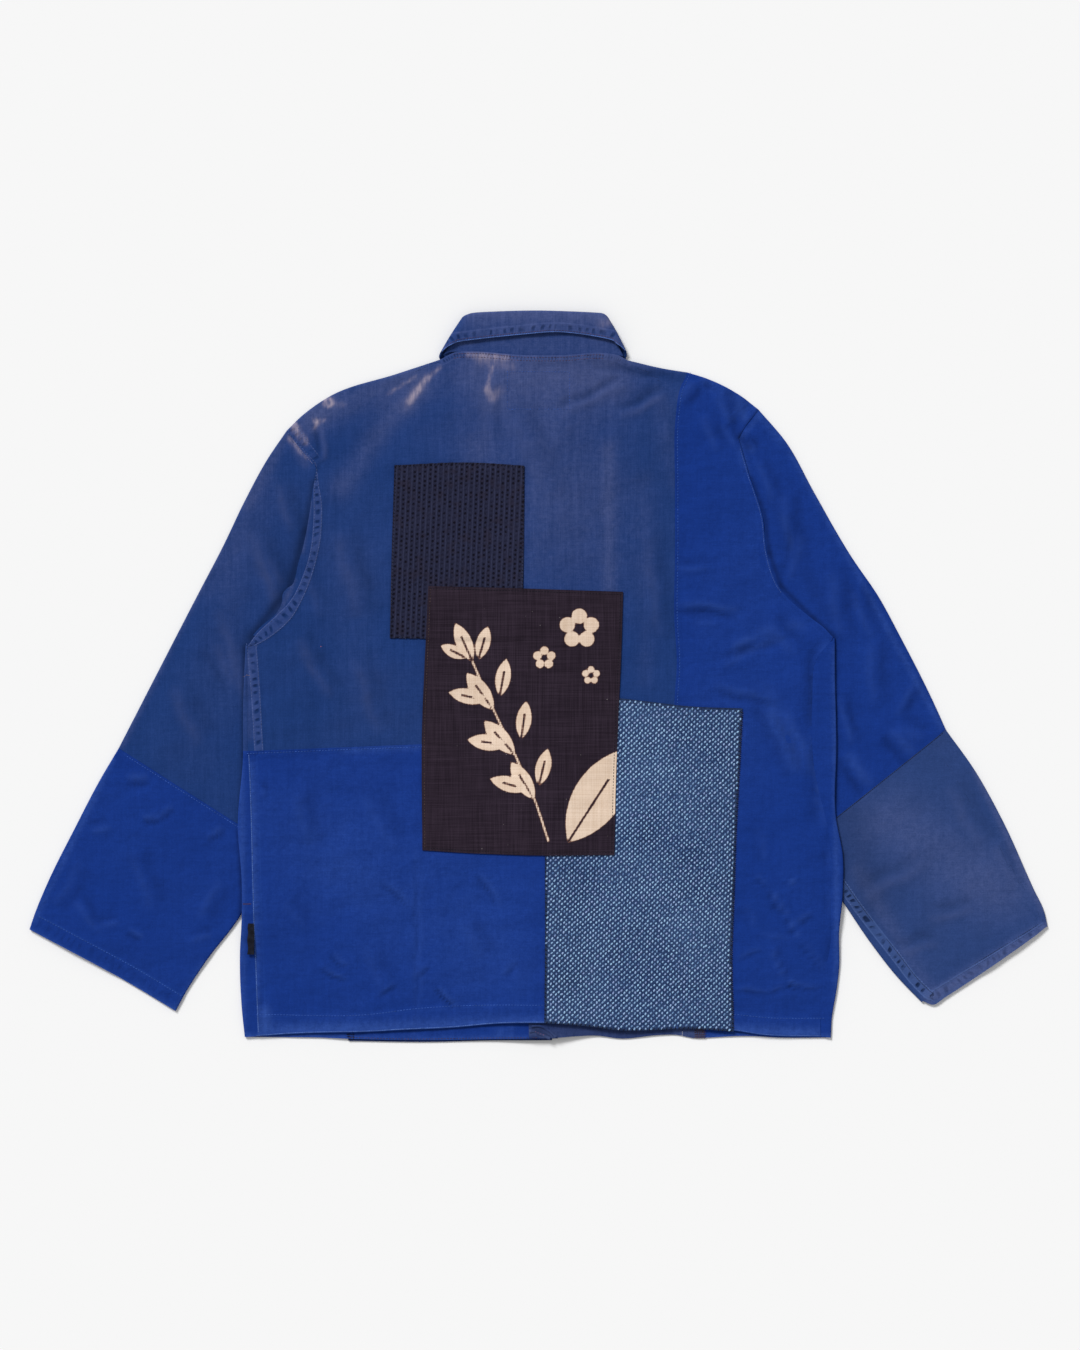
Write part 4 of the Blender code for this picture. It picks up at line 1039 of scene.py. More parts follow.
INDIGO_BLEACH = [
    (-101, 319.5, -116, 307, 2.4, 0.5), (-115, 308, -124, 297, 4, 0.7), (-124, 297, -133, 284, 3.4, 0.85),
    (-131, 292, -138, 279, 6, 0.2), (-155, 292.5, -127, 309.5, 2.2, 0.4), (-48, 319, -53, 297, 2, 0.5),
    (-53, 296, -48, 288, 4.5, 0.55), (-46, 290, -40, 296, 6, 0.3), (-72, 332, -33, 329, 3.5, 0.6),
    (-60, 326, -28, 320, 7, 0.3), (-231, 265.5, -228, 262.5, 2.4, 0.8), (-228, 263.5, -221, 265.5, 1.9, 0.6),
    (-229, 262, -231, 256.5, 1.9, 0.6), (-253, 259, -241, 243.5, 5, 0.55), (-252, 262, -249, 258, 3, 0.5),
    (-212, 282, -200, 281, 3.5, 0.25), (-262, 249, -261, 248, 3.5, 0.4),
] + [(*on_loop(a), *on_loop(a + 0.9), 1.9, 0.5) for a in np.arange(0, math.tau, 0.9)]
sew("back_upper", blocks, fade=INDIGO_FADE, bleach=INDIGO_BLEACH, seams=INDIGO_SEAMS, creases=BODY_CREASES)
LABEL_CORNERS = [(-32, 314.5), (32, 314.5), (32, 276), (-32, 276), (-32, 314.5)]
stitch("back_upper", "rows", [
    moved(ARMHOLE_LINE, 0.9), ARMHOLE_ROW, moved(SHOULDER_LINE, 1.2)[:-2], SHOULDER_ROW[:-3], SIDE_LINE, SIDE_ROW,
], upper_top, PALE_THREAD, width=0.6)
stitch("back_upper", "neck_rows", [moved(NECK_LINE, off)[6:-12] for off in (2.0, 5.6)],
       upper_top, RUST_THREAD, width=0.5)
stitch("back_upper", "label_rows", [joined(*zip(LABEL_CORNERS, LABEL_CORNERS[1:]))], upper_top, BLUE_THREAD, width=0.4)
stitch("back_upper", "knot", [[(-224.4, 31.8), (-223.0, 31.2)]], upper_top, PINK_THREAD, pitch=2.0,
       length=1.2, width=1.0)
stitch("back_upper", "loose_end", [[(-303, 0.8), (-300.6, 2.4), (-297.8, 2.0)]], upper_top, SAND_THREAD,
       pitch=1.4, length=1.6, width=0.4)

# %% [markdown]
# The lower left panel is a royal blue cloth, turned up at a hem and rubbed pale along its very edges; the pale line
# there is also a painted highlight, where the edge catches the light. Dye kept on the points could only tint whole
# cells of 3 mm, so this pale edge is a line of fine pale threads.

# %% Lower left back panel
HEM_EDGE_LEFT, HEM_EDGE_RIGHT = through(BACK_HEM_LEFT, 150), through(BACK_HEM_RIGHT, 60)
HEM_LEFT = through([(-290, -347.5), (-177, -347.5), (-127, -341.5), (3, -337.5), (80, -340), (140, -343)], 120)
HEM_RIGHT = through([(140, -344), (203, -347.5), (238, -351), (302, -351.5)], 60)


def lower_top(points):
    return back_top(points) + ridge_at(points, CROSS_LINE) + hem_at(points, HEM_LEFT)


plan = panel(LEFT_SIDE_LOW, BACK_SEAM_LOW, BACK_HEM_LEFT, CROSS_SEAM)
sew("back_lower_left", [lift(plan, lower_top)],
    fade=[(-290, -366, 0, -358, 9, 0.8), (-297, -90, -291, -360, 5, 0.6), (-127, -180, -127.5, -362, 3, 0.12),
          (-282, -366, -282, -345, 7, 0.7), (-200, -75, -125, -72, 4, 0.4), (-200, -170, -60, -280, 90, 0.28)],
    seams=[(HEM_EDGE_LEFT, -19, 0.12), (CROSS_LINE, 4, 0.2), (through(LEFT_SIDE_LOW, 60), 9, 0.2)],
    creases=BODY_CREASES)
stitch("back_lower_left", "rows", [moved(CROSS_LINE, 2.5), HEM_LEFT], lower_top, BLUE_THREAD)
edges = [moved(HEM_EDGE_LEFT[:-30], -0.9), moved(through(LEFT_SIDE_LOW, 120)[2:-2], 0.9)]
stitch("back_lower_left", "rubbed_edge_and_highlight", edges, lower_top, RUBBED_EDGE_AND_HIGHLIGHT, width=0.8, **PALE_EDGE_STITCHES)
stitch("back_lower_left", "bartack", [[(-304, -233), (-296.5, -233)], [(-304, -234), (-296.5, -233.8)]],
       lower_top, RUST_THREAD, pitch=1.2, length=1.4, width=0.6)

# %% [markdown]
# The right panel is one strip from the hem to the shoulder. It folds over the shoulder as the upper panel
# does, so the same function makes it, and shares its long seam, so the two cloths meet without a gap.

# %% Right back panel
RIGHT_ARMHOLE_LINE = joined(RIGHT_ARMHOLE, RIGHT_ARMHOLE_TOP)


def right_top(points):
    edge = ridge_at(points, RIGHT_ARMHOLE_LINE, 0.9, 4.5)
    return back_top(points) + ridge_at(points, BACK_LINE) + hem_at(points, HEM_RIGHT) + edge


right_line = joined(RIGHT_SIDE, RIGHT_ARMHOLE, RIGHT_ARMHOLE_TOP)
blocks = with_shoulder(BACK_HEM_RIGHT, BACK_LINE, right_line, ((RIGHT_SHOULDER_FAR, True),), right_top, FRONT_UNDER)
# the dark strokes are painted shade: a shadow line along the seam at the top of the right armhole
sew("back_right", blocks,
    fade=[(200, -366, 290, -369, 9, 0.8), (174, 305, 225, 276, 8, 0.35), (240, -40, 262, -90, 8, 0.3),
          (205, 22, 245, 40, 5, 0.3), (285, 0, 285, -100, 5, 0.3), (160, -80, 240, 120, 60, 0.12)],
    seams=[(HEM_EDGE_RIGHT, -19, 0.12), (BACK_LINE, 4, 0.2), (RIGHT_ARMHOLE_LINE, -6, 0.12)],
    creases=BODY_CREASES, dark=[(206, 247, 227, 275, 2, 0.7), (203, 252, 214, 230, 4, 0.3)])
stitch("back_right", "rows", [moved(BACK_LINE, 3), HEM_RIGHT[:-3]], right_top, BLUE_THREAD)
# painted highlight: a pale line of threads just inside the armhole's edge, where the rounded edge catches the light;
# along the hem the pale line is rubbed wear and painted highlight
edge = moved(RIGHT_ARMHOLE_LINE, -1.3)
edge = edge[(edge[:, 1] > 88) & (edge[:, 1] < 236)]
stitch("back_right", "rubbed_edge_and_highlight", [edge, moved(HEM_EDGE_RIGHT, -0.9)], right_top, RUBBED_EDGE_AND_HIGHLIGHT, width=0.45, **PALE_EDGE_STITCHES)

# %% [markdown]
# ## Three patches
#
# Each patch is a rectangle cut a little off the thread. The dark printed one was sewn on last: it lies over
# a corner of each of the others, and their edges show through it as low steps.

# %% Patches
SASHIKO_EDGE = {
    "left": [(-153, 40.5), (-151.5, 120), (-148.5, 218.5)], "right": [(-16.5, 39), (-16, 94), (-14.6, 217.6)],
    "low": [(-153, 40.5), (-117, 40), (-16.5, 39)], "high": [(-148.5, 218.5), (-64, 221), (-14.6, 217.6)],
}
INDIGO_EDGE = {
    "left": [(6, -355.5), (6.8, -270), (6.7, -184), (8, -15)],
    "right": [(201, -365), (199, -291), (201, -230), (203, -168), (207, -90), (210, -32)],
    "low": [(6, -355.5), (39, -358), (90, -364), (155, -362), (201, -365)],
    "high": [(8, -15), (83, -21.5), (104.5, -24), (156, -30), (210, -32)],
}
PRINT_EDGE = {
    "left": [(-119.6, -178), (-120, -54), (-116.5, 30), (-113.6, 94)],
    "right": [(78, -183), (79.5, -110), (82, -44), (85, 20), (87, 88)],
    "low": [(-119.6, -178), (-60, -181.5), (-17, -183), (78, -183)],
    "high": [(-113.6, 94), (-20, 91.5), (87, 88)],
}


def round_of(edge):
    """The outline of a patch as one closed line, anticlockwise."""
    sides = [through(edge[k], 80) for k in ("low", "right", "high", "left")]
    return np.concatenate([sides[0], sides[1][1:], sides[2][::-1][1:], sides[3][::-1][1:]])


def within(points, edge):
    """How far inside the outline of a patch each place lies: the least of its distances from the four sides."""
    sides = []
    for side, inside in (("low", -1), ("right", -1), ("high", 1), ("left", 1)):
        line = through(edge[side], 40)
        line[0] += (line[0] - line[1]) * 200
        line[-1] += (line[-1] - line[-2]) * 200
        sides.append(inside * beside(points, line)[1])
    return np.min(sides, axis=0)


def patch_top(points, edge, others=(), sag=0.35):
    """The face of a patch: over the back, over other patches, and pulled down by its stitches near the edge."""
    over = sum(LAYER * ease(-3, 1.5, within(points, other)) for other in others)
    depth = within(points, edge)
    return back_top(points) + LAYER + over - sag * bell(depth - 3, 2.2)


def sashiko_top(points):
    return patch_top(points, SASHIKO_EDGE)


def indigo_top(points):
    return patch_top(points, INDIGO_EDGE)


def print_top(points):
    return patch_top(points, PRINT_EDGE, (SASHIKO_EDGE, INDIGO_EDGE))


def pointed_leaf(points, x, y, turn, length, width):
    """How far inside a pointed leaf each place is: where two discs overlap."""
    turn = math.radians(turn)
    off = points[:, :2] - (x, y)
    along = off[:, 0] * math.cos(turn) + off[:, 1] * math.sin(turn) - length / 2
    across = off[:, 1] * math.cos(turn) - off[:, 0] * math.sin(turn)
    radius = (length**2 / 4 + width**2 / 4) / width
    shift = radius - width / 2
    half = radius - np.hypot(along, np.abs(across) + shift)
    vein = np.abs(across) - 0.9
    return np.where(along < length * 0.18, np.minimum(half, vein), half)


def disc(points, x, y, radius):
    return radius - np.hypot(points[:, 0] - x, points[:, 1] - y)


LEAVES = [  # x, y, turn in degrees, length, width
    (-4, -126, 122, 46, 18), (-10, -116, 164, 42, 16), (0, -112, 76, 40, 16), (-24, -80, 132, 48, 19),
    (-32, -70, 172, 42, 17), (-18, -64, 82, 40, 16), (-46, -34, 126, 48, 19), (-52, -24, 168, 42, 16),
    (-40, -20, 80, 40, 16), (-68, 16, 114, 44, 17), (-74, 20, 154, 30, 13), (-62, 18, 74, 36, 15),
]
LARGE_LEAF = (30, -170, 57, 116, 50)
BLOSSOMS = [(42, 50, 13), (6, 20, 7.5), (54, 2, 6)]  # x, y, size
STEM = [(10, -168), (-4, -126), (-24, -80), (-46, -34), (-68, 16)]


def resist_print(points):
    """How far inside the undyed motifs each place of the printed patch is: leaves on a stem, and blossoms."""
    motif = np.max([pointed_leaf(points, *row) for row in LEAVES], axis=0)
    motif = np.maximum(motif, 1.3 - np.abs(beside(points, through(STEM, 60))[1]))
    for x, y, size in BLOSSOMS:
        petals = [disc(points, x + size * math.cos(a), y + size * math.sin(a), size * 0.62)
                  for a in np.radians(np.arange(90, 450, 72))]
        motif = np.maximum(motif, np.minimum(np.max(petals, axis=0), -disc(points, x, y, size * 0.3)))
    return np.maximum(motif, pointed_leaf(points, *LARGE_LEAF))


def hollows(points):
    """How deep the little hollows of the quilting weave are at each place, from 0 to 1."""
    row = (points[:, 0] - points[:, 1] * ROW_LEAN) / ROW_APART
    step = points[:, 1] / HOLE_APART + 0.5 * (np.floor(row) % 2)
    across, up = (row % 1 - 0.5) * ROW_APART, (step % 1 - 0.5) * HOLE_APART
    return ease(1.9, 0.5, np.hypot(across * 1.15, up))


def quilted_top(points):
    flat = points.reshape(-1, points.shape[-1])
    return sashiko_top(points) - 0.55 * hollows(flat).reshape(points.shape[:-1])


for name, edge, top, cell, mark in (
    ("patch_sashiko", SASHIKO_EDGE, quilted_top, 1.3, None), ("patch_indigo", INDIGO_EDGE, indigo_top, CELL, None),
    ("patch_print", PRINT_EDGE, print_top, 1.7, resist_print),
):
    plan = panel(edge["left"], edge["right"], edge["low"], edge["high"], cell=cell)
    sew(name, [lift(plan, top)], seams=[(round_of(edge), -5, 0.0)], mark=mark)

# %% [markdown]
# Patches like these are sewn on by hand: slanting stitches go over the raw edges of two of them, and
# straight rows hold them a little inside. Each row is a side of the patch moved inwards, so the stitches
# follow its curves.

# %% Sewing of the patches
def inset(edge, depth, sides=("low", "right", "high", "left")):
    """Lines inside the sides of a patch, each shortened by the same depth at both ends."""
    inward = {"low": -1, "right": -1, "high": 1, "left": 1}
    skip = max(1, int(depth / 2))
    return [moved(through(edge[side], 80), inward[side] * depth)[skip:-skip] for side in sides]


stitch("patch_sashiko", "overcast", inset(SASHIKO_EDGE, 0.9), sashiko_top, DARK_THREAD,
       pitch=3.6, length=3.0, width=0.8, turn=62, wander=0.25)
stitch("patch_indigo", "overcast", inset(INDIGO_EDGE, 0.8, ("right", "low", "left")), indigo_top, DARK_THREAD,
       pitch=4.4, length=3.2, width=0.9, turn=65, wander=0.3)
stitch("patch_indigo", "fuzz", inset(INDIGO_EDGE, -0.7, ("right",)), lambda points: back_top(points) + 0.5, FUZZ,
       pitch=2.2, length=2.2, width=0.45, turn=50, wander=0.8)
stitch("patch_indigo", "rows", inset(INDIGO_EDGE, 3.2, ("right", "high")), indigo_top, DARK_THREAD,
       pitch=4.0, length=2.6, width=0.7)
stitch("patch_print", "rows", inset(PRINT_EDGE, 2.6, ("low", "right", "high")), print_top, DARK_THREAD)
stitch("patch_print", "pale_rows", inset(PRINT_EDGE, 2.6, ("left",)), print_top, TAN_THREAD, wander=0.2)

# %% [markdown]
# The large blue patch is woven so that short light threads float on a dark ground, set like the fives of a
# die. All of them lean to the right.

# %% Floating threads
FLOAT_X, FLOAT_Y, FLOAT_LEAN = 5.6, 5.3, -0.030  # apart across and along, and the lean of the columns
rng = np.random.default_rng(4)
i, j = np.meshgrid(np.arange(-6, 84), np.arange(-4, 144))
even = (i + j) % 2 == 0
i, j = i[even], j[even]
y = -372 + j * FLOAT_Y / 2
places = np.c_[4 + i * FLOAT_X / 2 - y * FLOAT_LEAN - 12 + 0.8 * np.sin(y / 37), y + 0.9 * np.sin(i / 9)]
places += rng.normal(0, 0.22, places.shape)
lean = np.radians(60 + np.where(i % 2 == 0, 6, -6) + rng.normal(0, 10, len(i)))
shown = (within(places, INDIGO_EDGE) > 1.3) & (within(places, PRINT_EDGE) < 1)
places, lean = places[shown], lean[shown]
data = bpy.data.meshes.new("floats")
data.from_pydata((np.c_[places, indigo_top(places) + 0.1] * MM).tolist(), [], [])
note(data, "way", np.c_[np.cos(lean), np.sin(lean), 0 * lean])
threads("patch_indigo", "floats", data, GRAIN_TREE, FLOATS, 3, Pitch=0.0, Length=3.25 * MM,
        Width=2.0 * MM, Height=0.8 * MM, Turn=0.0, Wander=0.15)
print("floating threads:", len(places))

# %% [markdown]
# ## The fronts
#
# Both fronts lie face down and show only as a strip beyond the side seams, where they wrap round to the
# back, and as a line below the back hem. A front starts as the grid of its underside, and the wrap is a second
# grid on its edge, round the side fold and up to the side seam.

# %% Fronts
SIDE_RADIUS = 1.5


def front(name, sides, low, high, wrap=None, cell=6.0, extra=(), **marks):
    """A front from its grid underneath, with its wrap as (fold, seam) round one side."""
    under = Form(name, upper=False)

    def rest(points):
        return under(points) + np.maximum(0, waves(points, 3, 60, 0.25))

    left, right = (joined(*side, cell=cell) for side in sides)
    wrapped = 0
    if wrap:
        fold = through(wrap[0], count_for(wrap[0], cell=cell))
        wrapped, way = len(fold), 1 if fold[0, 0] > 0 else -1
        out = outward(fold, way)
        side = right if way > 0 else left
        side[:wrapped] = fold - out * SIDE_RADIUS
    rows = max(len(left), len(right))
    left, right = (line if len(line) == rows else through(line, rows) for line in (left, right))
    columns = count_for(low, cell=cell)
    low, high = through(low, columns), through(high, columns)
    low, high = pinned(low, left[0], right[0]), pinned(high, left[-1], right[-1])
    main = lift(between(low, high, left, right), rest)
    blocks = [main]
    if wrap:
        edge = main[:wrapped, -1 if way > 0 else 0]
        seam = joined(*wrap[1], cell=1.0)
        seam = through(seam[:: max(1, len(seam) // 60)], wrapped)
        top = back_top(seam) + 0.1
        fold_top = np.maximum(back_top(fold), edge[:, 2] + 2 * CLOTH + AIR)
        turn = bend(fold, out, fold_top, edge[:, 2], SIDE_RADIUS, steps=7)
        turn[-1] = edge
        strip = np.array([turn[0] + (np.c_[seam, top] - turn[0]) * share for share in (1, 0.75, 0.5, 0.25)])
        strip[..., 2] = np.maximum(strip[..., 2], rest(strip) + CLOTH + AIR)
        blocks.append(np.concatenate([strip, turn]))
    return sew(name, blocks + list(extra), outside_up=False, **marks)


def roll(path, radius, height):
    """The rounded edge of a folded layer along a path in plan: half a small tube, open below."""
    line = through(path, 16)
    out = outward(line, 1)
    return np.array([
        np.c_[line + out * radius * math.cos(a), np.full(16, height + radius * 0.8 * math.sin(a))]
        for a in np.linspace(0.15, math.pi - 0.15, 8)
    ]).transpose(1, 0, 2)


FRONT_NECK_LEFT = [(-100, 320), (-75, 291), (-45, 264), (-13, 252), (20, 251)]
LEFT_UNDER = joined(LEFT_SHOULDER) + (3.5, -6.5)  # the front ends a little inside the shoulder's fold
front("front_left", ((LEFT_FOLD, LEFT_ARMHOLE, LEFT_ARMHOLE_TOP), ([(20, -372), (21, 251)],)), FRONT_HEM_LEFT,
      np.concatenate([LEFT_UNDER[::8], FRONT_NECK_LEFT[1:]]), wrap=(LEFT_FOLD, (LEFT_SIDE_LOW, LEFT_SIDE_HIGH)),
      fade=[(-303, 30, -304, -74, 9, 0.2), (-306, -90, -305, -368, 4, 0.5), (-300, -372, 0, -373, 4, 0.7),
            (-42, -364, -41, -371, 4, 0.6), (-30, -362, -31, -371, 4, 0.5), (-128, -366, -127, -372, 3, 0.4)])
strip = SEWN["front_left"].data
strip.materials.append(INDIGO)
for face in strip.polygons:  # above the cross seam, what turns over to the back is indigo
    x, y, z = face.center / MM
    if x < -292.5 and -75.5 < y < 40 and z > 3:
        face.material_index = 1
# the dark strokes are painted shadow under the rolled corner of the placket
front("front_right_centre", (([(-10, -371.6), (-16, 251)],), ([(171, -371.8), (171, 300)],)),
      FRONT_HEM_CENTRE, [(-16, 252), (22, 251), (52, 266), (84, 305), (96, 319), (128, 311), (171, 302)],
      extra=[roll([(-7, -359.5), (1, -359), (9, -362.5), (18, -370.5)], 1.7, 6.9),
             roll([(-9.5, -364.5), (-5, -363.8), (3, -367), (12, -371.5)], 2.2, 6.8)],
      fade=[(-9.5, -364.5, 13, -373, 3, 0.9), (-7, -359, 18, -370, 3, 0.4), (20, -369, 140, -367, 12, 0.35),
            (145, -368, 171, -368, 7, 0.8)],
      dark=[(-6, -361.5, 4, -361.5, 2, 0.5), (-2, -364, 12, -369, 1.6, 0.5)])
front("front_right_side", (([(171, -371.8), (171, 302)],), (RIGHT_FOLD, RIGHT_ARMHOLE, RIGHT_ARMHOLE_TOP)),
      FRONT_HEM_RIGHT, [(171, 302), (205, 284), (221, 270)], wrap=(RIGHT_FOLD, (RIGHT_SIDE,)),
      fade=[(305, 30, 308, -368, 4, 0.5), (171, -372, 300, -372, 4, 0.7)])

FRONT_OVER = Form("front_right_centre", "front_left", "front_right_side", soften=2)
STITCHED_AT = 8.4  # height of the placket's corner


def front_top(points):
    return FRONT_OVER(points) + 0.1


stitch("front_right_centre", "darn", [[(x, -362), (x + 0.6, -372)] for x in np.arange(162, 172, 1.7)]
       + [[(161.5, y), (172, y - 0.3)] for y in np.arange(-371.5, -362, 1.7)],
       front_top, BROWN_THREAD, pitch=2.0, length=2.1, width=0.6)
stitch("front_right_centre", "loose_thread", [[(148.4, -366), (148.2, -369.6)]], front_top, WHITE_THREAD, pitch=1.6,
       length=1.9, width=0.5)
stitch("front_right_centre", "pink_stitches", [[(-3, -364.8), (5, -368)]],
       lambda points: np.full(len(points), STITCHED_AT), PINK_THREAD, pitch=2.6, length=1.3, width=0.5)

stitch("front_patch", "row", [through([(-194, -371.3), (-129.8, -372.9), (-76.7, -372.1), (-2.6, -371.2)], 60)],
       front_top, BROWN_THREAD, width=0.55)
stitch("front_patch", "corner", [[(x, -367.6), (x + 0.3, -373)] for x in (-196.2, -194.6, -191.2)]
       + [[(-197, y), (-190.5, y - 0.3)] for y in (-368.4, -370.4)], front_top, DARK_THREAD, pitch=1.9)
PATCH_UNDER = Form("front_patch", upper=False)
plan = panel([(-196, -375), (-196, -180)], [(14, -374), (14, -182)],
             [(-196, -375), (-110, -376), (-51, -374.6), (14, -374)], [(-196, -180), (14, -182)], cell=6)
sew("front_patch", [lift(plan, PATCH_UNDER)], outside_up=False)

# %% [markdown]
# ## Sleeves
#
# A sleeve laid flat is a tube with two folds. Its grid in plan is lifted twice, to its upper and its lower
# face, and a half-round fold joins the two along each edge. Each sleeve is pieced from two cloths, so it is
# two tubes that meet at a slanting seam. The left one also has a tuck: a narrow strip of it stands up beside
# the armhole and hides where the rest begins.

# %% A flattened tube
TUBE_RADIUS = 1.8


def tube(side, start, end, outer, inner, upper, lower):
    """Rings of a flattened tube, row by row from the armhole to the cuff; outer and inner are its two folds."""
    rows, columns = count_for(outer, inner), count_for(start, end)
    way = -1 if side == "left" else 1
    outer, inner = through(outer, rows), through(inner, rows)
    outs = outward(outer, -way), outward(inner, way)
    edges = [line - out * TUBE_RADIUS for line, out in zip((outer, inner), outs)]
    start = pinned(through(start, columns), edges[0][0], edges[1][0])
    end = pinned(through(end, columns), edges[0][-1], edges[1][-1])
    plan = between(start, end, edges[0], edges[1])
    low = lift(plan, lower)
    low[..., 2] = np.maximum(low[..., 2], 0.1)
    top = lift(plan, upper)
    top[..., 2] = np.maximum(top[..., 2], low[..., 2] + 2 * CLOTH + AIR)
    folds = [
        bend(line, out, top[:, column, 2], low[:, column, 2], TUBE_RADIUS, steps=8).transpose(1, 0, 2)
        for line, out, column in zip((outer, inner), outs, (0, -1))
    ]
    return np.concatenate([top, folds[1][:, 1:-1], low[:, ::-1], folds[0][:, ::-1][:, 1:-1], top[:, :1]], axis=1)


SLEEVE_FORMS = {
    side: [Form(f"sleeve_{side}_upper", f"sleeve_{side}_lower", upper=upper) for upper in (True, False)]
    for side in ("left", "right")
}
SLEEVE_CREASES = {
    "left": [
        (-462, -161, -441, -152, 4, 0.7), (-407, -150, -388, -148, 4, -0.8), (-388, -148, -373, -139, 4, -0.7),
        (-426, -112, -400, -107.5, 4.5, -0.9), (-453, -255, -432, -254, 4, 0.6), (-426, -266, -410, -271, 4, -0.7),
        (-360, -269, -337, -268, 4, 0.6), (-341, -171, -322, -160, 4, -0.8), (-300, 150, -262, 60, 12, 0.6),
        (-330, 70, -300, -30, 12, 0.5), (-380, -10, -350, -70, 12, 0.4), (-420, -180, -400, -240, 10, 0.4),
        (-270, 200, -255, 150, 8, 0.5), (-480, -230, -452, -262, 6, 0.5), (-330, -210, -350, -250, 8, 0.5),
        (-345, 30, -320, -20, 8, -0.4), (-290, 120, -275, 90, 7, -0.4), (-470, -190, -500, -235, 8, 0.4),
    ],
    "right": [
        (352, -64, 382, -90, 9, -0.8), (308, -86, 334, -122, 9, -0.9), (369, -50, 396, -66, 9, 0.5),
        (332, -228, 402, -192, 8, 0.5), (367, -285, 413, -275, 7, 0.5), (250, 190, 262, 120, 9, 0.6),
        (300, 110, 310, 40, 10, 0.5), (340, 40, 345, -30, 9, 0.4), (228, 238, 214, 246, 5, -0.8),
        (226, 225, 240, 180, 7, 0.5), (420, -110, 455, -175, 10, 0.4), (388, 0, 370, -40, 6, 0.5),
        (310, -20, 322, -70, 6, 0.6), (400, -250, 450, -240, 7, 0.5), (470, -170, 490, -220, 7, 0.4),
        (262, 150, 250, 100, 6, -0.5), (322, 90, 345, 40, 7, 0.5),
    ],
}


BODY_EDGES = {"left": joined(LEFT_FOLD, LEFT_ARMHOLE[1:]), "right": joined(RIGHT_FOLD, RIGHT_ARMHOLE[1:])}


def under_body(points, side, height):
    """Heights of a sleeve, pressed down where it goes on under the body."""
    inside = beside(points, BODY_EDGES[side])[1] * (1 if side == "left" else -1)
    pressed = np.minimum(height, FRONT_UNDER(points) - AIR)
    return height + (pressed - height) * ease(-0.5, 4, inside)


def sleeve_face(points, side):
    """The upper face of a sleeve before its hem."""
    seeds = (21, 30) if side == "left" else (22, 31)
    return SLEEVE_FORMS[side][0](points) + relief(points, seeds, 80, SLEEVE_CREASES[side])


LEFT_JOIN, RIGHT_JOIN = [(-433, -73), (-360, -119.5), (-282, -169)], [(420, -54), (350, -110), (286, -161)]
LEFT_CUFF = [(-525, -260), (-479, -284), (-431, -310), (-374, -344)]
RIGHT_CUFF = [(525, -257), (470, -296), (419, -330), (406, -338), (395, -335)]
LEFT_TUCK = [
    (-231, 206), (-232.5, 196), (-235.5, 173), (-239.3, 150), (-243.5, 131), (-247.5, 118), (-250.8, 103),
    (-253.6, 95.6), (-259.2, 91.8), (-263.6, 86), (-264.4, 77.5), (-267.8, 69.6), (-273.5, 62.5), (-281, 56.5),
    (-288.2, 50.2), (-294, 43.5), (-302, 26),
]
LEFT_TUCK_LINE = through(LEFT_TUCK, 80)
LEFT_JOIN_LINE, RIGHT_JOIN_LINE, LEFT_CUFF_LINE = (through(line, 60) for line in (LEFT_JOIN, RIGHT_JOIN, LEFT_CUFF))

# %% [markdown]
# The left sleeve is faded indigo down to a slanting seam, and royal blue from there to its cuff. Each cloth
# is a tube of its own, so the seam is a real edge, and one function gives the height of both, so they meet.

# %% Left sleeve
def left_sleeve_top(points):
    y = points[..., 1]
    tuck = ridge_at(points, LEFT_TUCK_LINE, 2.0, 11) * ease(28, 60, y) * ease(212, 175, y)
    hem = 0.6 * ease(18, 16, np.abs(beside(points, LEFT_CUFF_LINE)[1]))
    return under_body(points, "left", sleeve_face(points, "left") - tuck + hem)


def left_lower_top(points):
    return left_sleeve_top(points) + ridge_at(points, LEFT_JOIN_LINE, 0.6)


rings = tube(
    "left",
    [(-260, 254), (-245, 235), (-230, 218), (-228, 200), (-230, 173), (-233, 145), (-234, 112)],
    LEFT_JOIN, [(-260, 254), (-279, 226), (-303, 182), (-325, 136), (-349, 90), (-433, -73)],
    [(-234, 112), (-240, 90), (-250, 74), (-266, 57), (-284, 39), (-293, 28), (-295, 12), (-295, -2), (-294, -40),
     (-287, -115), (-282, -169)], left_sleeve_top, SLEEVE_FORMS["left"][1],
)
# the dark strokes are painted shadow beside the tuck and along the body's edge where it lies over the sleeve, with
# softer painted shade beside them
sew("sleeve_left_upper", [rings],
    fade=[(-262, 250, -300, 180, 8, 0.4), (-250, 235, -240, 220, 6, 0.4), (-300, 60, -360, -60, 40, 0.1),
          (-330, 130, -430, -70, 4, 0.4), (-290, 200, -330, 100, 30, 0.25)],
    bleach=[(-256, 246, -246, 236, 4, 0.5), (-246, 232, -238, 226, 2.5, 0.4)],
    dark=[(-232, 200, -241, 150, 4, 0.5), (-241, 150, -257, 92, 4.5, 0.65), (-262, 86, -296, 42, 4.5, 0.6),
          (-240, 160, -262, 82, 12, 0.25), (-262, 82, -300, 35, 10, 0.25), (-303, 30, -304, -80, 3.5, 0.55),
          (-304, -80, -308, -165, 3.5, 0.5)],
    creases=SLEEVE_CREASES["left"])

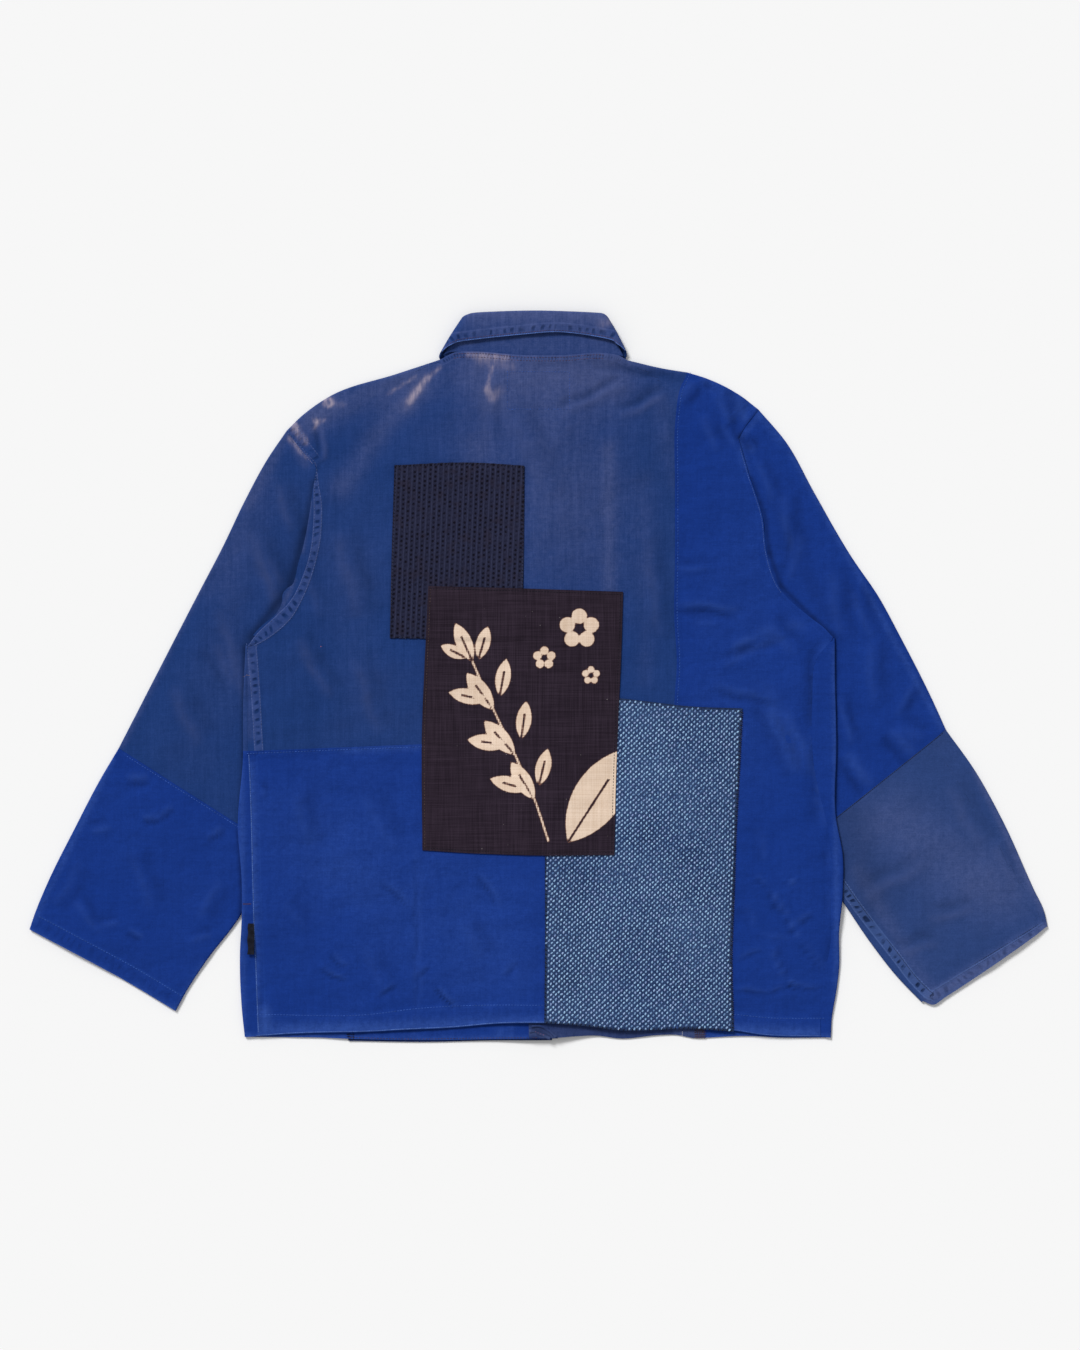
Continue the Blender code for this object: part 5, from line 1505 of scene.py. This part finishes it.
strip = lift(panel(LEFT_ARMHOLE[1:-1], LEFT_TUCK[::-1][1:-1], [(-292, 42.5), (-294, 43.5)],
                   [(-231.5, 200), (-232.5, 196)], cell=2.4), lambda points: back_top(points) - 0.2)
edge = strip[:, -1]
turn = bend(edge[:, :2], outward(edge, -1), edge[:, 2], edge[:, 2] - 2.8, 1.4, steps=8)
hidden = [turn[-1] + np.c_[-outward(edge, -1) * reach, np.zeros(len(edge))] for reach in (2, 4)]
sew("sleeve_left_tuck", [strip, np.concatenate([turn, np.array(hidden)])],
    fade=[(-236, 180, -245, 130, 3, 0.5), (-252, 100, -268, 66, 3, 0.5)], own_solid=False)

rings = tube("left", LEFT_JOIN, LEFT_CUFF,
             [(-433, -73), (-453, -107), (-479, -157), (-505, -209), (-520, -245), (-525, -260)],
             [(-282, -169), (-290, -211), (-307, -245), (-343, -293), (-365, -327), (-374, -344)],
             left_lower_top, SLEEVE_FORMS["left"][1])
# the dark strokes are painted shadow along the body's left edge where it lies over the sleeve
sew("sleeve_left_lower", [rings],
    fade=[(-524, -262, -376, -344, 4, 0.6), (-440, -85, -520, -250, 4, 0.5), (-345, -296, -372, -340, 4, 0.4)],
    seams=[(LEFT_CUFF_LINE, -17, 0.25)], creases=SLEEVE_CREASES["left"],
    dark=[(-309, -160, -306, -212, 3, 0.5), (-306, -212, -307, -245, 3, 0.5)])
stitch("sleeve_left_upper", "rubbed_edge_and_highlight", [moved(SHOULDER_LINE, -1.4)[2:-2]], left_sleeve_top, RUBBED_INDIGO,
       pitch=2.3, length=2.6, width=0.6, wander=0.08)
stitch("sleeve_left_lower", "rows", [moved(through(LEFT_CUFF, 90), -16.5)[2:-2]], left_lower_top, BLUE_THREAD)
stitch("sleeve_left_lower", "join", [moved(LEFT_JOIN_LINE, 2.4)[2:-2]], left_lower_top, BLUE_THREAD)

# %% [markdown]
# The right sleeve is royal blue above its seam, and below it a grey-blue cloth that was once the edge of
# another piece: it keeps a felled seam of its own along the inner edge, and a hem full of puckers. Both are
# low ridges with a strong pucker in the colour, whose hollows are painted darker as shade.

# %% Right sleeve
def right_sleeve_top(points):
    hem = 0.6 * ease(-1, 0.8, beside(points, RIGHT_HEM_ROW)[1]) * ease(-240, -250, points[..., 1])
    dip = ridge_at(points, RIGHT_ARMHOLE_LINE, 1.3, 7)
    return under_body(points, "right", sleeve_face(points, "right") + hem - dip)


RIGHT_INNER_BAND = through([(308, -200), (316, -211), (333, -235), (353, -261), (373, -286.5), (392, -311),
                            (404, -323)], 60)
RIGHT_HEM_ROW = through([(402, -325.5), (436, -304.5), (472, -282.5), (521.5, -252)], 60)


def right_lower_top(points):
    band = rise_at(points, RIGHT_INNER_BAND, 9, 0.6)
    return right_sleeve_top(points) + band + ridge_at(points, RIGHT_JOIN_LINE, 0.5)


rings = tube(
    "right",
    [(227, 276), (215, 261), (206, 246.5), (210, 228), (213, 211.5), (225, 164), (226, 125)],
    RIGHT_JOIN, [(227, 276), (255, 243), (284, 191), (321, 127), (352, 81), (372, 44), (406, -23), (420, -54)],
    [(226, 125), (232, 104), (242, 88), (262, 68), (285, 49), (296, 36), (298, 20), (299, 0), (297, -40), (291, -105),
     (286, -161)], right_sleeve_top, SLEEVE_FORMS["right"][1],
)
# the dark strokes are painted shadow along the armhole and the body's edge over the sleeve, a wide soft painted shade
# below the armhole, and painted shade in the crease at the shoulder
sew("sleeve_right_upper", [rings],
    fade=[(227, 274, 252, 245, 7, 0.4), (260, 232, 415, -50, 4, 0.4), (206, 250, 216, 211, 3, 0.4),
          (211, 249, 229, 272, 2, 0.6)],
    dark=[(219, 206, 234, 164, 3, 0.5), (234, 160, 238, 128, 3, 0.55), (238, 128, 250, 94, 3, 0.55),
          (250, 94, 282, 62, 3, 0.55), (284, 60, 304, 42, 3.5, 0.6), (305, 36, 306, -60, 3, 0.5),
          (306, -60, 306, -130, 3, 0.5), (240, 180, 300, 60, 9, 0.15), (216, 238, 208, 247, 5, 0.4)],
    creases=SLEEVE_CREASES["right"])
rings = tube("right", RIGHT_JOIN, RIGHT_CUFF,
             [(420, -54), (448, -93), (479.5, -149.5), (511, -219), (521, -240), (525, -257)],
             [(286, -161), (297, -208), (314, -232), (339, -269), (370, -309), (395, -335)],
             right_lower_top, SLEEVE_FORMS["right"][1])
# the dark strokes are painted shadow along the body's right edge over the sleeve, and a wide soft painted shade beside
# it
sew("sleeve_right_lower", [rings],
    fade=[(524, -258, 404, -332, 8, 0.75), (450, -96, 520, -240, 4, 0.5), (360, -150, 480, -220, 40, 0.4),
          (330, -200, 400, -320, 10, 0.3)],
    dark=[(322, -150, 345, -230, 22, 0.25), (313, -183, 312, -225, 4, 0.5)], creases=SLEEVE_CREASES["right"],
    seams=[(RIGHT_INNER_BAND, 9, 1.5, 0.95), (RIGHT_HEM_ROW, through(RIGHT_CUFF[::-1], 60), 0.5)])
stitch("sleeve_right_lower", "rows", [
    moved(RIGHT_INNER_BAND, -0.6)[3:], moved(RIGHT_INNER_BAND, 8.6)[3:-3], moved(RIGHT_HEM_ROW, 0.8)[2:-2],
], right_lower_top, PALE_THREAD)
stitch("sleeve_right_lower", "dark_rows", [moved(RIGHT_INNER_BAND, 0.8)[3:], moved(RIGHT_HEM_ROW, -0.8)[2:-2],
       moved(RIGHT_JOIN_LINE, -0.6)[2:-2]], right_lower_top, DARK_THREAD, pitch=2.6, length=3.0, width=0.5)

# %% [markdown]
# ## Collar
#
# The stand goes round the neck like a low fence pressed flat, and the leaf falls outwards over it from the
# fold. A table gives, for each station round the neck, where the seam, the fold and the free edge of the leaf
# are in plan, and which way the station faces: down for those on the fronts, up for those on the back.

# %% Collar stand and leaf
STATIONS = [  # seam x, y, fold x, y, leaf x, y, turn in degrees
    (-4, 252.8, -4, 292, -9, 240, -90), (-40, 263, -27, 303, -52, 228, -90),
    (-74, 293, -50, 331, -101, 282, -90), (-93, 317, -70, 357, -99, 318, -90),
    (-96, 330, -73.5, 364, -98.5, 325, -45), (-96.5, 331, -74, 366.5, -98, 328.5, 0),
    (-95, 332.5, -75, 369, -95.5, 335, 45), (-88, 335.5, -73.5, 372, -89, 342.5, 90),
    (-69, 333.7, -61, 374.3, -76, 346.2, 90), (-14, 329.2, -12, 376, -14, 353, 90),
    (23, 329.2, 20, 375.6, 26, 355, 90), (69, 331.6, 58, 374, 72, 348, 90),
    (82, 331.6, 66.5, 373, 82, 342, 90), (85.5, 330.5, 67.5, 370, 85.5, 336, 45), (86, 330, 67.5, 367, 86.5, 330, 0),
    (85.5, 329, 66, 365, 86.5, 326, -45), (84, 316, 65, 357, 90, 318, -90), (66, 293, 46, 331, 93, 282, -90),
    (38, 265.5, 27, 303, 52, 228, -90), (6, 252.8, 6, 292, 11, 240, -90),
]
COLLAR_MIDDLE, COLLAR_TURN, LEAF_OFF = 4.0, 1.3, 2.1  # heights of the stand's foot and of the leaf off the stand
ON_BACK = 6.5  # the leaf's free edge is higher than this where it lies on the back


def collar_sections():
    """The stand and the leaf at each station, as points of their middle and the way out through them."""
    stand, leaf = [], []
    for seam_x, seam_y, fold_x, fold_y, leaf_x, leaf_y, turn in STATIONS:
        up = np.array((fold_x - seam_x, fold_y - seam_y, 0.0))
        up /= np.linalg.norm(up)
        level = math.radians(turn)
        across = math.copysign(1, seam_x) * np.array((up[1], -up[0], 0.0))
        out = math.cos(level) * across + math.sin(level) * np.array((0, 0, 1))
        base = COLLAR_TURN * out + np.array((0, 0, COLLAR_MIDDLE))
        seam, fold = np.array((seam_x, seam_y, 0.0)) + base, np.array((fold_x, fold_y, 0.0)) + base
        crown = fold - LEAF_OFF / 2 * up
        lifted = 1.3 if turn == 90 and abs(seam_x) > 75 else 0.2
        free = np.array((leaf_x, leaf_y, 0.0)) + base + (LEAF_OFF + lifted) * out
        stand.append([(seam + (crown - 1.7 * up - seam) * s, out) for s in np.linspace(0, 1, 8)])
        arc = [(crown + LEAF_OFF / 2 * (out + math.sin(a) * up - math.cos(a) * out),
                math.sin(a) * up - math.cos(a) * out) for a in np.linspace(0, math.pi, 9)]
        tip = arc[-1][0]
        fall = [(tip + (free - tip) * s + 0.7 * math.sin(math.pi * s) * out, out) for s in np.linspace(0, 1, 12)[1:]]
        leaf.append([(crown - 1.2 * up, -out)] + arc + fall)
    return np.array(stand), np.array(leaf)


def along(sections, parts):
    """More sections between the given ones, on smooth lines."""
    places = np.linspace(0, len(sections) - 1, (len(sections) - 1) * parts + 1)
    slope = np.gradient(sections, axis=0)
    i = np.clip(places.astype(int), 0, len(sections) - 2)
    s = (places - i).reshape(-1, *(1,) * (sections.ndim - 1))
    return cubic(s, sections[i], sections[i + 1], slope[i], slope[i + 1])


def collar_block(sections, parts=9):
    """The outer face of a collar piece: its middle moved out by half the wall."""
    dense = along(sections, parts)
    middle, out = dense[:, :, 0], dense[:, :, 1]
    out = out / np.maximum(np.linalg.norm(out, axis=-1, keepdims=True), 1e-6)
    return middle + out * CLOTH / 2


stand, leaf = (collar_block(sections) for sections in collar_sections())
COLLAR_BACK = leaf[leaf[:, -1, 2] > ON_BACK, -1][::-1]
sew("collar_stand", [stand], fade=[(-80, 345, 80, 345, 24, 0.4)])
leaf[..., 2] = np.maximum(leaf[..., 2] + np.where(leaf[..., 2] > 5, waves(leaf, 8, 40, 0.3), 0), 0.05)
sew("collar_leaf", [leaf],
    fade=[(-70, 374, 66, 373, 6, 0.7), (-95, 338, 85, 346, 4, 0.5), (-60, 365, 60, 366, 24, 0.55)],
    bleach=[(66, 364, 78, 366, 7, 0.3)], seams=[(COLLAR_BACK, 9.5, 0.65)])
row = leaf[leaf[:, -1, 2] > ON_BACK, -2]
stitch("collar_leaf", "rows", [row + (0, 0, 1.3)], None, RUST_THREAD, pitch=2.9, width=0.5)
# painted highlight: a line of pale threads along the leaf's free edge, partly rubbed wear
row = leaf[leaf[:, -1, 2] > ON_BACK, -1]
stitch("collar_leaf", "rubbed_edge_and_highlight", [row + (0, 0.4, 1.25)], None, RUBBED_EDGE_AND_HIGHLIGHT, width=0.9, **PALE_EDGE_STITCHES)

# %% [markdown]
# A small loop of dark tape is caught in the left side seam. One smooth line round the loop is repeated along
# the seam and sways a little from row to row, as soft tape does.

# %% Side loop
level = float(BACK_FORM(np.array([(-293.0, -270.0)]))[0])
sections = []
for y in np.linspace(-285.5, -253.5, 12):
    seam, wander = -293.0, 0.5 * math.sin(y * 0.4)
    tip = through([(seam, 1.9), (seam - 3, 2.1), (seam - 5.8 + wander, 1.9), (seam - 7 + wander, 1.2),
                   (seam - 5.8 + wander, 0.5), (seam - 3, 0.3), (seam, 0.3)], 18)
    sections.append(np.c_[tip[:, 0], np.full(18, y), level + tip[:, 1]])
sew("side_loop", [np.array(sections)], wall=0.7)

# %% [markdown]
# Five plain dished buttons lie face down under the placket. Each is turned from one outline, as on a lathe,
# at the place and in the size of its solid, so that it fills exactly the room the placket leaves it.

# %% Buttons
mesh = bmesh.new()
BUTTONS, ROUND = [f"button_{number}" for number in range(1, 6)], 28
for name in BUTTONS:
    corners = np.array([v.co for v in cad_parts[name].data.vertices]) / MM
    least, most = corners.min(axis=0), corners.max(axis=0)
    (x, y, _), size, low, high = least / 2 + most / 2, (most[0] - least[0]) / 2, least[2], most[2]
    rings = []
    for reach, height in ((0.0, high), (0.94, high), (1.0, high - 0.6), (1.0, low + 0.7), (0.9, low), (0.74, low),
                          (0.66, low + 0.6), (0.0, low + 0.7)):
        turns = np.linspace(0, math.tau, ROUND, endpoint=False) if reach else [0.0]
        points = [(x + size * reach * math.cos(a), y + size * reach * math.sin(a), height) for a in turns]
        rings.append([mesh.verts.new(Vector(point) * MM) for point in points])
    for first, second in zip(rings, rings[1:]):
        for k in range(ROUND):
            loop = [ring[at % len(ring)] for ring, at in ((first, k), (first, k + 1), (second, k + 1), (second, k))]
            mesh.faces.new(list(dict.fromkeys(loop)))
bmesh.ops.recalc_face_normals(mesh, faces=mesh.faces)
data = bpy.data.meshes.new("buttons")
mesh.to_mesh(data)
mesh.free()
keep(put("buttons", data), BUTTONS, "button_plastic", BUTTON)
print("buttons:", len(BUTTONS), "and cloths sewn:", len(SEWN))

# %% [markdown]
# ## Floor, light and camera
#
# The jacket lies on plain white paper. An even sky and one large soft sun from beyond the collar give each
# colour its own brightness and just enough shade to show the creases. The camera looks straight down.

# %% Floor, light, camera
FLOOR, FLOOR_LEVEL = 6.0, -0.0004  # in metres
floor_mesh = bpy.data.meshes.new("floor")
corners = [(x * FLOOR, y * FLOOR, FLOOR_LEVEL) for x, y in ((-1, -1), (1, -1), (1, 1), (-1, 1))]
floor_mesh.from_pydata(corners, [], [(0, 1, 2, 3)])
floor_mesh.materials.append(plain("paper", (0.93, 0.93, 0.93), 1.0, 0.0))
put("floor", floor_mesh)

SKY, SUN_SHARE, SUN_HEIGHT, SUN_TURN, SUN_SIZE = 0.44, 0.56, 40, 34, 18
world = bpy.data.worlds.new("sky")
bpy.context.scene.world = world
world.use_nodes = True
world.node_tree.nodes["Background"].inputs["Color"].default_value = (1, 1, 1, 1)
world.node_tree.nodes["Background"].inputs["Strength"].default_value = SKY
sun = put("sun", bpy.data.lights.new("sun", "SUN"))
sun.data.energy = SUN_SHARE * math.pi / math.sin(math.radians(SUN_HEIGHT))
sun.data.angle = math.radians(SUN_SIZE)
sun.rotation_euler = (math.radians(-(90 - SUN_HEIGHT)), 0, math.radians(SUN_TURN))

LENS, SENSOR, LONG_SIDE = 85.0, 36.0, 1.3905
camera = put("camera", bpy.data.cameras.new("camera"))
camera.data.lens, camera.data.sensor_width = LENS, SENSOR
camera.data.clip_start, camera.data.clip_end = 0.1, 20
camera.location = (0.0015, 0.0024, LONG_SIDE * LENS / SENSOR + 0.006)
bpy.context.scene.camera = camera
bpy.context.scene.view_settings.view_transform = "Standard"
